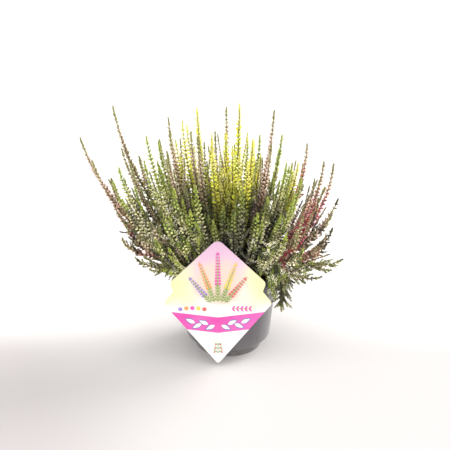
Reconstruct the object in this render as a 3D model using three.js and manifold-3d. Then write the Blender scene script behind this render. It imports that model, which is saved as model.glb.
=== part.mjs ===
// Potted heather: forked bud heather sprays of five colours in a 13 cm nursery pot filled with
// peat, with a die-cut plastic card hooked over the rim.
// Millimetres, +Z up. The origin is on the floor under the pot's axis, and the card faces -Y.

import * as THREE from "three";
import { mergeVertices } from "three/addons/utils/BufferGeometryUtils.js";
import Module from "manifold-3d";

// Clearance that pieces which touch keep
const CLEARANCE = 0.3;

// Pot
const RIM_RADIUS = 65;
const POT_HEIGHT = 105;
const RIM_BAND = 9;
const RIM_OVERHANG = 1.1;
const RIM_EASE = 0.8;
const WALL_FOOT_RADIUS = 55.1;
const STEP_HEIGHT = 15;
const STEP_DROP = 2;
const FOOT_TOP_RADIUS = 46;
const FOOT_RADIUS = 44.5;
const WALL = 1.3;
const FLOOR = 1.5;
const POT_SEGMENTS = 32;
const DRAINS = 8;
const DRAIN_LENGTH = 12;
const DRAIN_WIDTH = 5;
const DRAIN_REACH = 32;

// Root ball and peat
const SOIL_TOP = 97;
const SOIL_EDGE_DROP = 2;
const SOIL_EDGE_WIDTH = 5;
const HOLE_DEPTH = 11;
const HOLE_RADIUS = 2.35;

// Card, whose heights are above the floor and whose half widths are beside its middle line
const CARD_MIDDLE = -12.6;
const CARD_BACK = -66.0;
const CARD_THICKNESS = 0.8;
const CARD_TOP = 167;
const CARD_BOTTOM = 3.4;
const SHOULDER_HALF = 57;
const SHOULDER_HEIGHT = 112;
const NOTCH_HALF = 53;
const NOTCH_HEIGHT = 100.8;
const SIDE_HALF = 65;
const SIDE_HEIGHT = 85.8;
const TOP_ROUND = 9;
const SIDE_ROUND = 4.5;
const NOTCH_ROUND = 2.5;
const TONGUE_WIDTH = 12;
const TONGUE_BACK = -55;
const TONGUE_DEPTH = 13;

// Stems: their feet stand further out the more they lean, and low ones arch over the rim. Leans are
// in degrees from upright, and shares are of a path's straight length.
const STEM_RADIUS = 1.6;
const STEM_LIFT = 2.5;
const STEM_PEG = 9.5;
const TWIG_RADIUS = 1.3;
const FOOT_SPREAD = 50;
const MOST_FOOT_LEAN = 66;
const FORK_LOW = 0.14;
const FORK_RISE = 0.4;
const START_LEAN = 1.5;
const START_GAIN = 0.4;
const ARCH_LEAN = 105;
const HANGING_FROM = 100;
const HANGING_START = 60;
const TIP_LEAN = 0.25;
const TIP_DROOP = 0.56;
const RISE_SHARE = 0.35;
const ARCH_SHARE = -0.08;
const APPROACH_SHARE = 0.35;
const BOW = 2;
const BOW_WAVE = 2.4;

// Spikes: half breadths grow with the distance from the tip, and buds stand in rings
const TIP_BREADTH = 1.0;
const BREADTH_GAIN = 8.5;
const BREADTH_LENGTH = 100;
const BARE_LENGTH = 8;
const OPENING_SLOPE = 0.13;
const PAIR_ROOM = 0.6;
const VALLEY = 0.45;
const LEAST_VALLEY = 1.1;
const LEAST_BUD = 1.3;
const BUD_REACH = 0.62;
const FIRST_RING = 3;
const RING_STEP = 4.6;
const RING_GROWTH = 1.3;
const ROW_TURN = 45;
const ROW_SWING = 25;
const ROW_WAVE = 1.7;
const PATH_SAMPLES = 60;

// Each colour's foliage and buds, how full its spikes are, and how far more than the rest they
// spread first and stand up at the tip
const KINDS = {
  mauve: { colour: "#7c5f74", fullness: 0.9, upturn: 0 },
  pink: { colour: "#c493a0", fullness: 1.0, upturn: 0 },
  gold: { colour: "#c2bd4a", fullness: 1.1, upturn: 0 },
  white: { colour: "#9fae6c", fullness: 1.1, upturn: 0 },
  crimson: { colour: "#873a4d", fullness: 0.95, upturn: 1 },
};

// One row for each spray: its kind, then the tip of its main spike and of its side spike, each as
// bearing in degrees from +X towards +Y, reach from the pot's axis and height above the floor.
const SPRAYS = [
  // Left side and its outline
  ["pink", [182, 177, 274], [189, 162, 251]],
  ["mauve", [172, 142, 308], [166, 140, 254]],
  ["white", [199, 140, 229], [195, 132, 244]],
  ["mauve", [188, 118, 243], [185, 127, 226]],
  ["white", [189, 98, 277], [198, 103, 251]],
  ["white", [174, 86, 267], [166, 92, 240]],
  ["pink", [150, 88, 292], [148, 106, 262]],
  ["mauve", [194, 71, 285], [204, 78, 262]],
  // Middle
  ["gold", [166, 58, 291], [160, 70, 266]],
  ["gold", [132, 59, 303], [133, 79, 280]],
  ["mauve", [204, 48, 283], [222, 48, 279]],
  ["gold", [230, 30, 262], [190, 20, 272]],
  ["mauve", [93, 48, 304], [108, 55, 273]],
  ["gold", [62, 29, 310], [98, 24, 275]],
  ["gold", [286, 16, 265], [298, 28, 258]],
  ["gold", [318, 38, 275], [300, 43, 250]],
  ["gold", [28, 36, 266], [10, 40, 250]],
  ["pink", [354, 54, 306], [338, 54, 268]],
  ["white", [45, 57, 269], [61, 52, 263]],
  // Right side and its outline
  ["white", [21, 72, 273], [32, 76, 250]],
  ["white", [336, 74, 248], [346, 78, 246]],
  ["gold", [3, 86, 241], [10, 82, 228]],
  ["white", [333, 94, 233], [327, 90, 214]],
  ["crimson", [13, 101, 262], [21, 103, 233]],
  ["crimson", [359, 116, 244], [351, 126, 245]],
  ["crimson", [341, 106, 230], [338, 113, 209]],
  ["pink", [5, 140, 193], [357, 129, 179]],
  ["crimson", [347, 129, 168], [339, 125, 155]],
  ["mauve", [354, 145, 122], [345, 132, 115]],
  ["white", [328, 116, 137], [320, 111, 156]],
  ["mauve", [336, 123, 113], [316, 89, 73]],
  // Front, above and beside the card
  ["white", [222, 84, 223], [217, 98, 200]],
  ["white", [236, 68, 227], [238, 82, 202]],
  ["white", [262, 44, 200], [252, 58, 186]],
  ["white", [310, 70, 212], [298, 70, 196]],
  ["white", [288, 52, 222], [276, 56, 198]],
  ["white", [229, 84, 174], [240, 70, 164]],
  ["white", [316, 92, 172], [306, 80, 160]],
  ["crimson", [328, 101, 190], [322, 101, 172]],
  ["mauve", [211, 110, 196], [207, 124, 176]],
  ["crimson", [188, 128, 172], [196, 133, 158]],
  ["mauve", [204, 122, 138], [214, 112, 128]],
  ["white", [219, 108, 167], [226, 107, 133]],
  // Back
  ["pink", [66, 80, 252]],
  ["white", [84, 84, 250], [90, 98, 230]],
  ["mauve", [112, 86, 254]],
  ["white", [134, 106, 246], [140, 122, 222]],
  ["mauve", [154, 130, 238]],
  ["crimson", [172, 150, 218], [178, 144, 190]],
  ["mauve", [70, 118, 220], [62, 128, 194]],
  ["crimson", [94, 122, 222], [102, 130, 194]],
  ["gold", [116, 120, 220], [122, 134, 190]],
  ["white", [42, 112, 222], [36, 128, 196]],
  ["mauve", [20, 136, 200]],
  ["white", [80, 136, 162], [56, 138, 158]],
  ["white", [132, 140, 164], [114, 140, 158]],
];

const wasm = await Module();
wasm.setup();

const radians = THREE.MathUtils.degToRad;
const UP = new THREE.Vector3(0, 0, 1);

// Closed geometry as a solid that can be joined and cut
function toSolid(geometry) {
  const bare = new THREE.BufferGeometry();
  bare.setAttribute("position", geometry.getAttribute("position"));
  if (geometry.index) {
    bare.setIndex(geometry.index);
  }
  const merged = mergeVertices(bare, 1e-4);
  return new wasm.Manifold(
    new wasm.Mesh({
      numProp: 3,
      vertProperties: new Float32Array(merged.getAttribute("position").array),
      triVerts: new Uint32Array(merged.index.array),
    }),
  );
}

// Solid back as geometry
function toGeometry(solid) {
  const mesh = solid.getMesh();
  const geometry = new THREE.BufferGeometry();
  geometry.setAttribute("position", new THREE.Float32BufferAttribute(mesh.vertProperties, 3));
  geometry.setIndex([...mesh.triVerts]);
  geometry.computeVertexNormals();
  return geometry;
}

function named(name, geometry, colour, roughness) {
  const material = new THREE.MeshStandardMaterial({ color: colour, roughness, metalness: 0 });
  const mesh = new THREE.Mesh(geometry, material);
  mesh.name = name;
  return mesh;
}

// Solid turned round the Z axis from [radius, height] corners
function turned(corners) {
  const profile = corners.map(([radius, height]) => new THREE.Vector2(radius, height));
  return toSolid(new THREE.LatheGeometry(profile, POT_SEGMENTS).rotateX(Math.PI / 2));
}

// Box with its middle at x, y, z, turned round the Z axis
function block(size, place, turn = 0) {
  const box = new THREE.BoxGeometry(...size).translate(...place).rotateZ(turn);
  return toSolid(box);
}

// Radius of the pot wall's outside at a height above the step
function wallRadius(height) {
  const top = RIM_RADIUS - RIM_OVERHANG;
  const share = (height - STEP_HEIGHT) / (POT_HEIGHT - STEP_HEIGHT);
  return THREE.MathUtils.lerp(WALL_FOOT_RADIUS, top, share);
}

function pot() {
  const band = POT_HEIGHT - RIM_BAND;
  const body = turned([
    [0, 0],
    [FOOT_RADIUS, 0],
    [FOOT_TOP_RADIUS, STEP_HEIGHT - STEP_DROP],
    [WALL_FOOT_RADIUS, STEP_HEIGHT],
    [wallRadius(band), band],
    [RIM_RADIUS, band + RIM_OVERHANG],
    [RIM_RADIUS, POT_HEIGHT - RIM_EASE],
    [RIM_RADIUS - RIM_EASE, POT_HEIGHT],
    [wallRadius(POT_HEIGHT) - WALL, POT_HEIGHT],
    [wallRadius(STEP_HEIGHT) - WALL, STEP_HEIGHT + WALL],
    [FOOT_TOP_RADIUS - WALL, STEP_HEIGHT - STEP_DROP + WALL],
    [FOOT_RADIUS - WALL, FLOOR],
    [0, FLOOR],
  ]);
  let cut = body;
  for (let i = 0; i < DRAINS; i += 1) {
    const turn = ((i + 0.5) / DRAINS) * 2 * Math.PI;
    const size = [DRAIN_LENGTH, DRAIN_WIDTH, 3 * FLOOR];
    cut = cut.subtract(block(size, [DRAIN_REACH, 0, 0], turn));
  }
  return toGeometry(cut);
}

// The peat follows the inside of the pot and has a plain hole for each stem and for the tongue.
function soil(stems) {
  const edge = wallRadius(SOIL_TOP) - WALL - CLEARANCE;
  let body = turned([
    [0, FLOOR + CLEARANCE],
    [FOOT_RADIUS - WALL - CLEARANCE, FLOOR + CLEARANCE],
    [FOOT_TOP_RADIUS - WALL - CLEARANCE, STEP_HEIGHT - STEP_DROP + WALL + CLEARANCE],
    [WALL_FOOT_RADIUS - WALL - CLEARANCE, STEP_HEIGHT + WALL + CLEARANCE],
    [edge - CLEARANCE, SOIL_TOP - SOIL_EDGE_DROP],
    [edge - SOIL_EDGE_WIDTH, SOIL_TOP],
    [0, SOIL_TOP],
  ]);
  const height = 2 * HOLE_DEPTH;
  for (const [x, y] of stems) {
    const hole = new THREE.CylinderGeometry(HOLE_RADIUS, HOLE_RADIUS, height, 5);
    body = body.subtract(toSolid(hole.rotateX(Math.PI / 2).translate(x, y, SOIL_TOP)));
  }
  const slot = [
    TONGUE_WIDTH + 2 * CLEARANCE,
    CARD_THICKNESS + 2 * CLEARANCE,
    2 * (TONGUE_DEPTH + CLEARANCE),
  ];
  const middle = TONGUE_BACK - CARD_THICKNESS / 2;
  return toGeometry(body.subtract(block(slot, [CARD_MIDDLE, middle, SOIL_TOP])));
}

// Closed outline whose [x, y, round] corners are eased by that length
function easedShape(corners) {
  const shape = new THREE.Shape();
  corners.forEach(([x, y, round], i) => {
    const corner = new THREE.Vector2(x, y);
    const before = new THREE.Vector2(...corners.at(i - 1));
    const after = new THREE.Vector2(...corners[(i + 1) % corners.length]);
    const start = before.sub(corner).setLength(round).add(corner);
    const end = after.sub(corner).setLength(round).add(corner);
    if (i === 0) {
      shape.moveTo(start.x, start.y);
    } else {
      shape.lineTo(start.x, start.y);
    }
    shape.quadraticCurveTo(x, y, end.x, end.y);
  });
  shape.closePath();
  return shape;
}

// Diamond card with shoulders above its side points, and a tongue hooked over the rim
function card() {
  const right = [
    [SIDE_HALF, SIDE_HEIGHT, SIDE_ROUND],
    [NOTCH_HALF, NOTCH_HEIGHT, NOTCH_ROUND],
    [SHOULDER_HALF, SHOULDER_HEIGHT, SIDE_ROUND],
  ];
  const left = right.map(([x, y, round]) => [-x, y, round]).reverse();
  const outline = [[0, CARD_BOTTOM, SIDE_ROUND], ...right, [0, CARD_TOP, TOP_ROUND], ...left];
  const sheet = new THREE.ExtrudeGeometry(easedShape(outline), {
    depth: CARD_THICKNESS,
    bevelEnabled: false,
    curveSegments: 3,
  });
  sheet.rotateX(Math.PI / 2).translate(CARD_MIDDLE, CARD_BACK, 0);
  const over = POT_HEIGHT + CLEARANCE;
  const bridge = TONGUE_BACK - CARD_BACK;
  const legHeight = over + CARD_THICKNESS - (SOIL_TOP - TONGUE_DEPTH);
  const bridgeBlock = block(
    [TONGUE_WIDTH, bridge + CARD_THICKNESS / 2, CARD_THICKNESS],
    [
      CARD_MIDDLE,
      CARD_BACK + bridge / 2 - CARD_THICKNESS / 4,
      over + CARD_THICKNESS / 2,
    ],
  );
  const leg = block(
    [TONGUE_WIDTH, CARD_THICKNESS, legHeight],
    [
      CARD_MIDDLE,
      TONGUE_BACK - CARD_THICKNESS / 2,
      over + CARD_THICKNESS - legHeight / 2,
    ],
  );
  return toGeometry(toSolid(sheet).add(bridgeBlock).add(leg));
}

function aim(leanDegrees, bearing) {
  const lean = radians(leanDegrees);
  const out = new THREE.Vector3(Math.cos(bearing), Math.sin(bearing), 0);
  return out.multiplyScalar(Math.sin(lean)).addScaledVector(UP, Math.cos(lean));
}

// Tip of a spike as a point
function tipPoint([bearing, reach, height]) {
  const turn = radians(bearing);
  return new THREE.Vector3(reach * Math.cos(turn), reach * Math.sin(turn), height);
}

// Lean of a tip as seen from the middle of the peat, in degrees from upright
function tipLean([, reach, height]) {
  return THREE.MathUtils.radToDeg(Math.atan2(reach, height - SOIL_TOP));
}

// Where a spray's stem leaves the peat: the more it leans, the further out it stands.
function stemFoot(tip) {
  const spread = FOOT_SPREAD * Math.sin(radians(Math.min(tipLean(tip), MOST_FOOT_LEAN)));
  return tipPoint([tip[0], spread, SOIL_TOP + STEM_LIFT]);
}

// A spike leaves its foot outward and turns up again towards its tip. Low ones arch over the rim.
function spikePath(foot, tip, bow, upturn) {
  const along = tip.clone().sub(foot);
  const flat = Math.hypot(along.x, along.y);
  const bearing = Math.atan2(along.y, along.x);
  const lean = THREE.MathUtils.radToDeg(Math.atan2(flat, along.z));
  const flatness = Math.min(1, (lean / 90) ** 2);
  const outward = START_LEAN + START_GAIN * upturn;
  const arching = Math.min(outward * lean, ARCH_LEAN - lean);
  const firstAim = aim(lean > HANGING_FROM ? HANGING_START : arching, bearing);
  const lastLean = TIP_LEAN * (1 - upturn) + TIP_DROOP * flatness;
  const lastAim = aim(lean * lastLean, bearing);
  const length = along.length();
  const sideways = new THREE.Vector3(-Math.sin(bearing), Math.cos(bearing), 0);
  const rise = foot.clone().addScaledVector(sideways, bow);
  rise.addScaledVector(firstAim, (RISE_SHARE + ARCH_SHARE * flatness) * length);
  const approach = tip.clone().addScaledVector(sideways, bow);
  approach.addScaledVector(lastAim, -APPROACH_SHARE * length);
  return new THREE.CubicBezierCurve3(foot, rise, approach, tip);
}

// Half breadth of a full spike at a distance from its tip
function fullBreadth(fromTip, fullness) {
  return fullness * (TIP_BREADTH + BREADTH_GAIN * (1 - Math.exp(-fromTip / BREADTH_LENGTH)));
}

// Ring distances from the tip, the lowest first, between the bare stem and the tip
function ringPlaces(length, fullness) {
  const places = [];
  let place = FIRST_RING;
  while (place < length - BARE_LENGTH) {
    places.unshift(place);
    place += RING_STEP + RING_GROWTH * fullBreadth(place, fullness);
  }
  return places;
}

// Ring of four points round a path's point, given as [radius, lift along the path]
function ringPoints(middle, tangent, side, phase, radii) {
  const across = new THREE.Vector3().crossVectors(tangent, side).normalize();
  const level = new THREE.Vector3().crossVectors(across, tangent);
  return radii.map(([radius, lift], k) => {
    const turn = phase + (k * Math.PI) / 2;
    return middle
      .clone()
      .addScaledVector(level, radius * Math.cos(turn))
      .addScaledVector(across, radius * Math.sin(turn))
      .addScaledVector(tangent, lift);
  });
}

// Rings of four points run up the spike. Two opposite points of each ring stand out as buds that
// lean to the tip, and the pair turns by a quarter from ring to ring, so the buds stand in four rows
// on a slim core. A twig starts inside its parent stem, and a stem starts below the peat.
function spikeSolid(path, partner, fullness, phase, rooted) {
  const length = path.getLength();
  const rings = [];
  const foot = path.getPointAt(0);
  const tip = path.getPointAt(1);
  const side = new THREE.Vector3().crossVectors(UP, tip.clone().sub(foot)).normalize();
  const addPlain = (middle, tangent, radius) => {
    rings.push(ringPoints(middle, tangent, side, phase, Array(4).fill([radius, 0])));
  };
  const start = path.getTangentAt(0);
  if (rooted) {
    addPlain(foot.clone().addScaledVector(UP, -STEM_LIFT - STEM_PEG), UP, STEM_RADIUS);
    addPlain(foot, start.clone().add(UP).normalize(), STEM_RADIUS);
  } else {
    addPlain(foot, start, TWIG_RADIUS);
  }
  const places = ringPlaces(length, fullness);
  places.forEach((place, i) => {
    const parity = rings.length;
    const share = (length - place) / length;
    const middle = path.getPointAt(share);
    const grown = STEM_RADIUS + OPENING_SLOPE * (length - place - BARE_LENGTH);
    const room = partner ? PAIR_ROOM * nearestDistance(middle, partner) : Infinity;
    const out = Math.max(Math.min(fullBreadth(place, fullness), grown, room), TWIG_RADIUS);
    const valley = Math.max(VALLEY * out, Math.min(LEAST_VALLEY, out));
    const above = i + 1 < places.length ? places[i + 1] : 0;
    const lift = out > valley * LEAST_BUD ? BUD_REACH * (place - above) : 0;
    const radii = [0, 1, 2, 3].map((k) => ((k + parity) % 2 === 0 ? [out, lift] : [valley, 0]));
    rings.push(ringPoints(middle, path.getTangentAt(share), side, phase, radii));
  });
  return ringsToSolid(rings, tip);
}

// Distance from a point to the nearest sample of another path
function nearestDistance(point, samples) {
  return Math.min(...samples.map((sample) => sample.distanceTo(point)));
}

// Joins rings of four points, closed by a flat base and a pointed tip
function ringsToSolid(rings, tip) {
  const points = [...rings.flat(), tip];
  const faces = [];
  const at = (ringIndex, k) => ringIndex * 4 + (k % 4);
  faces.push(at(0, 0), at(0, 2), at(0, 1), at(0, 0), at(0, 3), at(0, 2));
  for (let r = 0; r + 1 < rings.length; r += 1) {
    for (let k = 0; k < 4; k += 1) {
      const low = [at(r, k), at(r, k + 1)];
      const high = [at(r + 1, k), at(r + 1, k + 1)];
      // The fold of each quad runs between the two points that lie in the valleys.
      if ((k + r) % 2 === 0) {
        faces.push(low[0], low[1], high[0], low[1], high[1], high[0]);
      } else {
        faces.push(low[0], low[1], high[1], low[0], high[1], high[0]);
      }
    }
  }
  const last = rings.length - 1;
  for (let k = 0; k < 4; k += 1) {
    faces.push(at(last, k), at(last, k + 1), points.length - 1);
  }
  const geometry = new THREE.BufferGeometry().setFromPoints(points);
  geometry.setIndex(faces);
  return toSolid(geometry);
}

// Forked spray: a main spike on its own stem, and a side spike that leaves it low down
function spray(index, [kind, main, side]) {
  const { colour, fullness, upturn } = KINDS[kind];
  const bow = BOW * Math.sin(BOW_WAVE * index);
  const mainPath = spikePath(stemFoot(main), tipPoint(main), bow, upturn);
  const phase = radians(ROW_TURN + ROW_SWING * Math.sin(ROW_WAVE * index));
  let body;
  if (side) {
    const fork = FORK_LOW + FORK_RISE * (tipLean(main) / 90) ** 4;
    const sidePath = spikePath(mainPath.getPoint(fork), tipPoint(side), -bow, upturn);
    const mainSamples = mainPath.getPoints(PATH_SAMPLES);
    const sideSamples = sidePath.getPoints(PATH_SAMPLES);
    body = spikeSolid(mainPath, sideSamples, fullness, phase, true);
    body = body.add(spikeSolid(sidePath, mainSamples, fullness, phase, false));
  } else {
    body = spikeSolid(mainPath, null, fullness, phase, true);
  }
  const number = String(index + 1).padStart(2, "0");
  return named(`${kind}_spray_${number}`, toGeometry(body), colour, 0.8);
}

const heather = new THREE.Group();
heather.add(named("pot", pot(), "#575459", 0.45));
heather.add(named("soil", soil(SPRAYS.map(([, main]) => stemFoot(main))), "#2f2620", 0.95));
heather.add(named("label_card", card(), "#f3e4ea", 0.35));
SPRAYS.forEach((row, index) => heather.add(spray(index, row)));

export default heather;
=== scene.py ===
"""Potted heather: forked bud heather sprays of five colours in a nursery pot, with a die-cut card.

The scene is in metres, +Z up, with the card towards -Y. Sizes in the classes below are in
millimetres, the unit that the plant and the pot are measured in, and are turned into metres when a
mesh or a material is made.
"""

import logging
import math
from dataclasses import dataclass, field
from enum import Enum

import bpy
import numpy as np
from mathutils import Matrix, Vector, noise


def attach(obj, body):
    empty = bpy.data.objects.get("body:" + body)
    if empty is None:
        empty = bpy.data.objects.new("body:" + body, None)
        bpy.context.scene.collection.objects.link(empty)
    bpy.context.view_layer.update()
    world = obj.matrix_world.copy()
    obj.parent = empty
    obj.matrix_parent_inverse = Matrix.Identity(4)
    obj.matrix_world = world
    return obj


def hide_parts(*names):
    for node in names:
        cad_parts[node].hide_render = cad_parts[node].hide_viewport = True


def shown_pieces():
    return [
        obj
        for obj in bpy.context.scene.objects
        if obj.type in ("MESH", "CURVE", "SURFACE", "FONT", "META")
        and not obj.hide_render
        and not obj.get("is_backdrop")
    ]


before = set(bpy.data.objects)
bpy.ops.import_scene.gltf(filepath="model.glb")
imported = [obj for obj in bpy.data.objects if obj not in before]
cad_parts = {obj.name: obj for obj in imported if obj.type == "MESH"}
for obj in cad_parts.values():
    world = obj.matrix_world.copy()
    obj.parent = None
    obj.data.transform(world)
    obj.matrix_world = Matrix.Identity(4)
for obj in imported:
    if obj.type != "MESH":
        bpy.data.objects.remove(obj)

MM = 0.001
BODY = "root"
LOG = logging.getLogger("heather")

Array = np.ndarray
Socket = bpy.types.NodeSocket
Span = tuple[float, float]

UP = np.array([0.0, 0.0, 1.0])
ASIDE = np.array([0.013, 0.007, 1.0])  # nearly upright, so that no stem runs along it
SHARE = (0.0, 1.0)
CLOUD = (0.3, 0.7)  # where most of a cloudy pattern's strength lies

# Sizes that more than one class works from
SOIL_TOP = 97.0
CARD_MIDDLE = -12.6
CARD_BACK = -66.0
CARD_THICKNESS = 0.8


def linear(code: str) -> tuple[float, float, float, float]:
    """Turns a screen colour into the light values that a shader takes.

    Args:
        code: Six hexadecimal digits.

    Returns:
        Red, green, blue and alpha.
    """
    parts = [int(code[i:i + 2], 16) / 255 for i in (0, 2, 4)]
    light = [p / 12.92 if p <= 0.04045 else ((p + 0.055) / 1.055) ** 2.4 for p in parts]
    return (light[0], light[1], light[2], 1.0)


def metres(span: Span) -> Span:
    """Turns a range in millimetres into metres."""
    return span[0] * MM, span[1] * MM


class Board:
    """Wires the nodes of one material round a single surface shader."""

    def __init__(self, name: str, **surface: float) -> None:
        """Makes the material.

        Args:
            name: The material's name.
            surface: Values for the surface shader's own sockets, with _ for a blank.
        """
        self.material = bpy.data.materials.new(name)
        self.material.use_nodes = True
        self.tree = self.material.node_tree
        self.tree.nodes.clear()
        self.shader = self.node("BsdfPrincipled")
        self.feed(self.node("OutputMaterial").inputs["Surface"], self.shader.outputs["BSDF"])
        for key, value in surface.items():
            self.shader.inputs[key.replace("_", " ")].default_value = value

    def node(self, kind: str) -> bpy.types.Node:
        """Adds a node of a kind, which is named without ShaderNode."""
        return self.tree.nodes.new("ShaderNode" + kind)

    def feed(self, socket: Socket, value: object) -> None:
        """Gives a socket a link, a number or a colour.

        Args:
            socket: The input socket.
            value: An output socket, a number or a colour.
        """
        if isinstance(value, Socket):
            self.tree.links.new(value, socket)
        else:
            socket.default_value = value

    def place(self) -> Socket:
        """Returns the point on the piece, in metres of the part's frame."""
        return self.node("TexCoord").outputs["Object"]

    def axes(self) -> tuple[Socket, ...]:
        """Splits the point on the piece.

        Returns:
            Its x, y and z.
        """
        split = self.node("SeparateXYZ")
        self.feed(split.inputs[0], self.place())
        return tuple(split.outputs[:3])

    def mark(self, name: str) -> Socket:
        """Reads a number that is stored on the mesh.

        Args:
            name: The number's name.

        Returns:
            The number.
        """
        node = self.node("Attribute")
        node.attribute_name = name
        return node.outputs["Fac"]

    def grain(self, scale: float, detail: float = 3.0, stretch: float = 1.0) -> Socket:
        """Makes a cloudy pattern.

        Args:
            scale: Clouds for each metre.
            detail: How many finer layers it has.
            stretch: How much longer than wide the clouds are along Z.

        Returns:
            The pattern's strength.
        """
        mapping = self.node("Mapping")
        mapping.inputs["Scale"].default_value = (1.0, 1.0, 1.0 / stretch)
        self.feed(mapping.inputs["Vector"], self.place())
        node = self.node("TexNoise")
        node.inputs["Scale"].default_value = scale
        node.inputs["Detail"].default_value = detail
        self.feed(node.inputs["Vector"], mapping.outputs[0])
        return node.outputs["Fac"]

    def sum(self, kind: str, *values: object) -> Socket:
        """Works out a sum.

        Args:
            kind: The kind of sum.
            values: The numbers and sockets that go into it.

        Returns:
            The result.
        """
        node = self.node("Math")
        node.operation = kind
        for socket, value in zip(node.inputs, values):
            self.feed(socket, value)
        return node.outputs[0]

    def times(self, first: object, second: object) -> Socket:
        """Multiplies two numbers."""
        return self.sum("MULTIPLY", first, second)

    def length(self, first: Socket, second: Socket) -> Socket:
        """Returns how far two lengths at right angles reach together."""
        squares = self.sum("ADD", self.times(first, first), self.times(second, second))
        return self.sum("SQRT", squares)

    def spread(self, value: object, span: Span, onto: Span = SHARE, smooth: bool = False) -> Socket:
        """Maps one range of numbers onto another and holds it at the ends.

        Args:
            value: The number to map.
            span: The range that it comes from.
            onto: The range that it goes to.
            smooth: Whether it eases in and out.

        Returns:
            The mapped number.
        """
        node = self.node("MapRange")
        node.interpolation_type = "SMOOTHSTEP" if smooth else "LINEAR"
        for socket, number in zip(node.inputs, (value, *span, *onto)):
            self.feed(socket, number)
        return node.outputs[0]

    def ramp(self, value: Socket, stops: dict[float, str]) -> Socket:
        """Turns a number into a colour.

        Args:
            value: The number.
            stops: The screen colours at some numbers.

        Returns:
            The colour.
        """
        node = self.node("ValToRGB")
        spots = node.color_ramp.elements
        while len(spots) < len(stops):
            spots.new(0.5)
        for spot, (position, code) in zip(spots, sorted(stops.items())):
            spot.position = position
            spot.color = linear(code)
        self.feed(node.inputs["Fac"], value)
        return node.outputs["Color"]

    def blend(self, share: object, first: object, second: object) -> Socket:
        """Mixes two colours, given as sockets or screen colours.

        Args:
            share: The share of the second colour.
            first: The first colour.
            second: The second colour.

        Returns:
            The mixed colour.
        """
        node = self.node("Mix")
        node.data_type = "RGBA"
        self.feed(node.inputs["Factor"], share)
        colours = [socket for socket in node.inputs if socket.type == "RGBA"]
        for socket, value in zip(colours, (first, second)):
            self.feed(socket, linear(value) if isinstance(value, str) else value)
        return [socket for socket in node.outputs if socket.type == "RGBA"][0]

    def vary(self, colour: Socket, hue: object, value: object) -> Socket:
        """Shifts a colour.

        Args:
            colour: The colour.
            hue: Its turn round the colour wheel, where 0.5 leaves it as it is.
            value: What its brightness is multiplied by.

        Returns:
            The shifted colour.
        """
        node = self.node("HueSaturation")
        for key, fed in (("Hue", hue), ("Value", value), ("Color", colour)):
            self.feed(node.inputs[key], fed)
        return node.outputs["Color"]

    def emboss(self, height: Socket, depth: float) -> None:
        """Roughens the surface by a height pattern.

        Args:
            height: The pattern.
            depth: Its depth in millimetres.
        """
        node = self.node("Bump")
        node.inputs["Strength"].default_value = 1.0
        node.inputs["Distance"].default_value = depth * MM
        self.feed(node.inputs["Height"], height)
        self.feed(self.shader.inputs["Normal"], node.outputs["Normal"])

    def finish(self, colour: Socket, roughness: Socket) -> bpy.types.Material:
        """Feeds the surface shader.

        Args:
            colour: The surface's colour.
            roughness: Its roughness.

        Returns:
            The finished material.
        """
        self.feed(self.shader.inputs["Base Color"], colour)
        self.feed(self.shader.inputs["Roughness"], roughness)
        return self.material


@dataclass(frozen=True)
class PaintedShade:
    """Painted shade on the foliage: darker in the heart of the bush and in low noise patches, where shade
    falls between the sprays.
    """

    heart_reach: Span = (35.0, 80.0)
    heart_height: Span = (170.0, 235.0)
    heart_light: float = 0.26
    patch_scale: float = 75.0
    patch_edge: Span = (0.41, 0.48)
    patch_light: float = 0.24

    def light(self, board: Board) -> Socket:
        """Works out the painted shade: how light the foliage's colour is left at each point.

        Args:
            board: The board of the foliage's material.

        Returns:
            The share that is left of its full brightness.
        """
        x, y, z = board.axes()
        wide = board.spread(board.length(x, y), metres(self.heart_reach), smooth=True)
        high = board.spread(z, metres(self.heart_height), smooth=True)
        # painted shade: the heart of the bush, near its axis and below the tips, is darkened to heart_light
        heart = board.spread(board.sum("MAXIMUM", wide, high), SHARE, (self.heart_light, 1.0))
        # painted shade: dark noise patches low in the bush, where shade falls between the sprays
        clouds = board.grain(self.patch_scale, detail=1.0, stretch=2.0)
        patches = board.spread(clouds, self.patch_edge, (self.patch_light, 1.0), smooth=True)
        return board.times(heart, board.sum("MAXIMUM", patches, high))


PAINTED_SHADE = PaintedShade()


@dataclass(frozen=True)
class PlasticFinish:
    """Moulded dark grey plastic with a faint grain, scuffs and a dusty foot."""

    name: str = "pot_plastic"
    dark: str = "403d42"
    pale: str = "545156"
    dust: str = "8b8278"
    dusty_height: float = 30.0
    foot_dust: float = 0.45
    speck_edge: Span = (0.62, 0.72)
    speck_dust: float = 0.5
    roughness: Span = (0.36, 0.52)
    relief: float = 0.04

    def material(self) -> bpy.types.Material:
        """Wires the finish.

        Returns:
            The finished material.
        """
        board = Board(self.name, Specular_IOR_Level=0.85, Sheen_Weight=0.3)
        height = board.axes()[2]
        streaks = board.grain(90.0, detail=4.0, stretch=6.0)
        colour = board.blend(board.spread(streaks, (0.35, 0.7)), self.dark, self.pale)
        specks = board.spread(board.grain(1400.0, detail=2.0), self.speck_edge,
                              (0.0, self.speck_dust))
        low = board.spread(height, metres((0.0, self.dusty_height)), (self.foot_dust, 0.0),
                           smooth=True)
        dusty = board.times(board.sum("ADD", specks, low), board.grain(160.0, detail=5.0))
        colour = board.blend(dusty, colour, self.dust)
        board.emboss(board.grain(2600.0, detail=2.0), self.relief)
        return board.finish(colour, board.spread(streaks, CLOUD, self.roughness))


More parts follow.
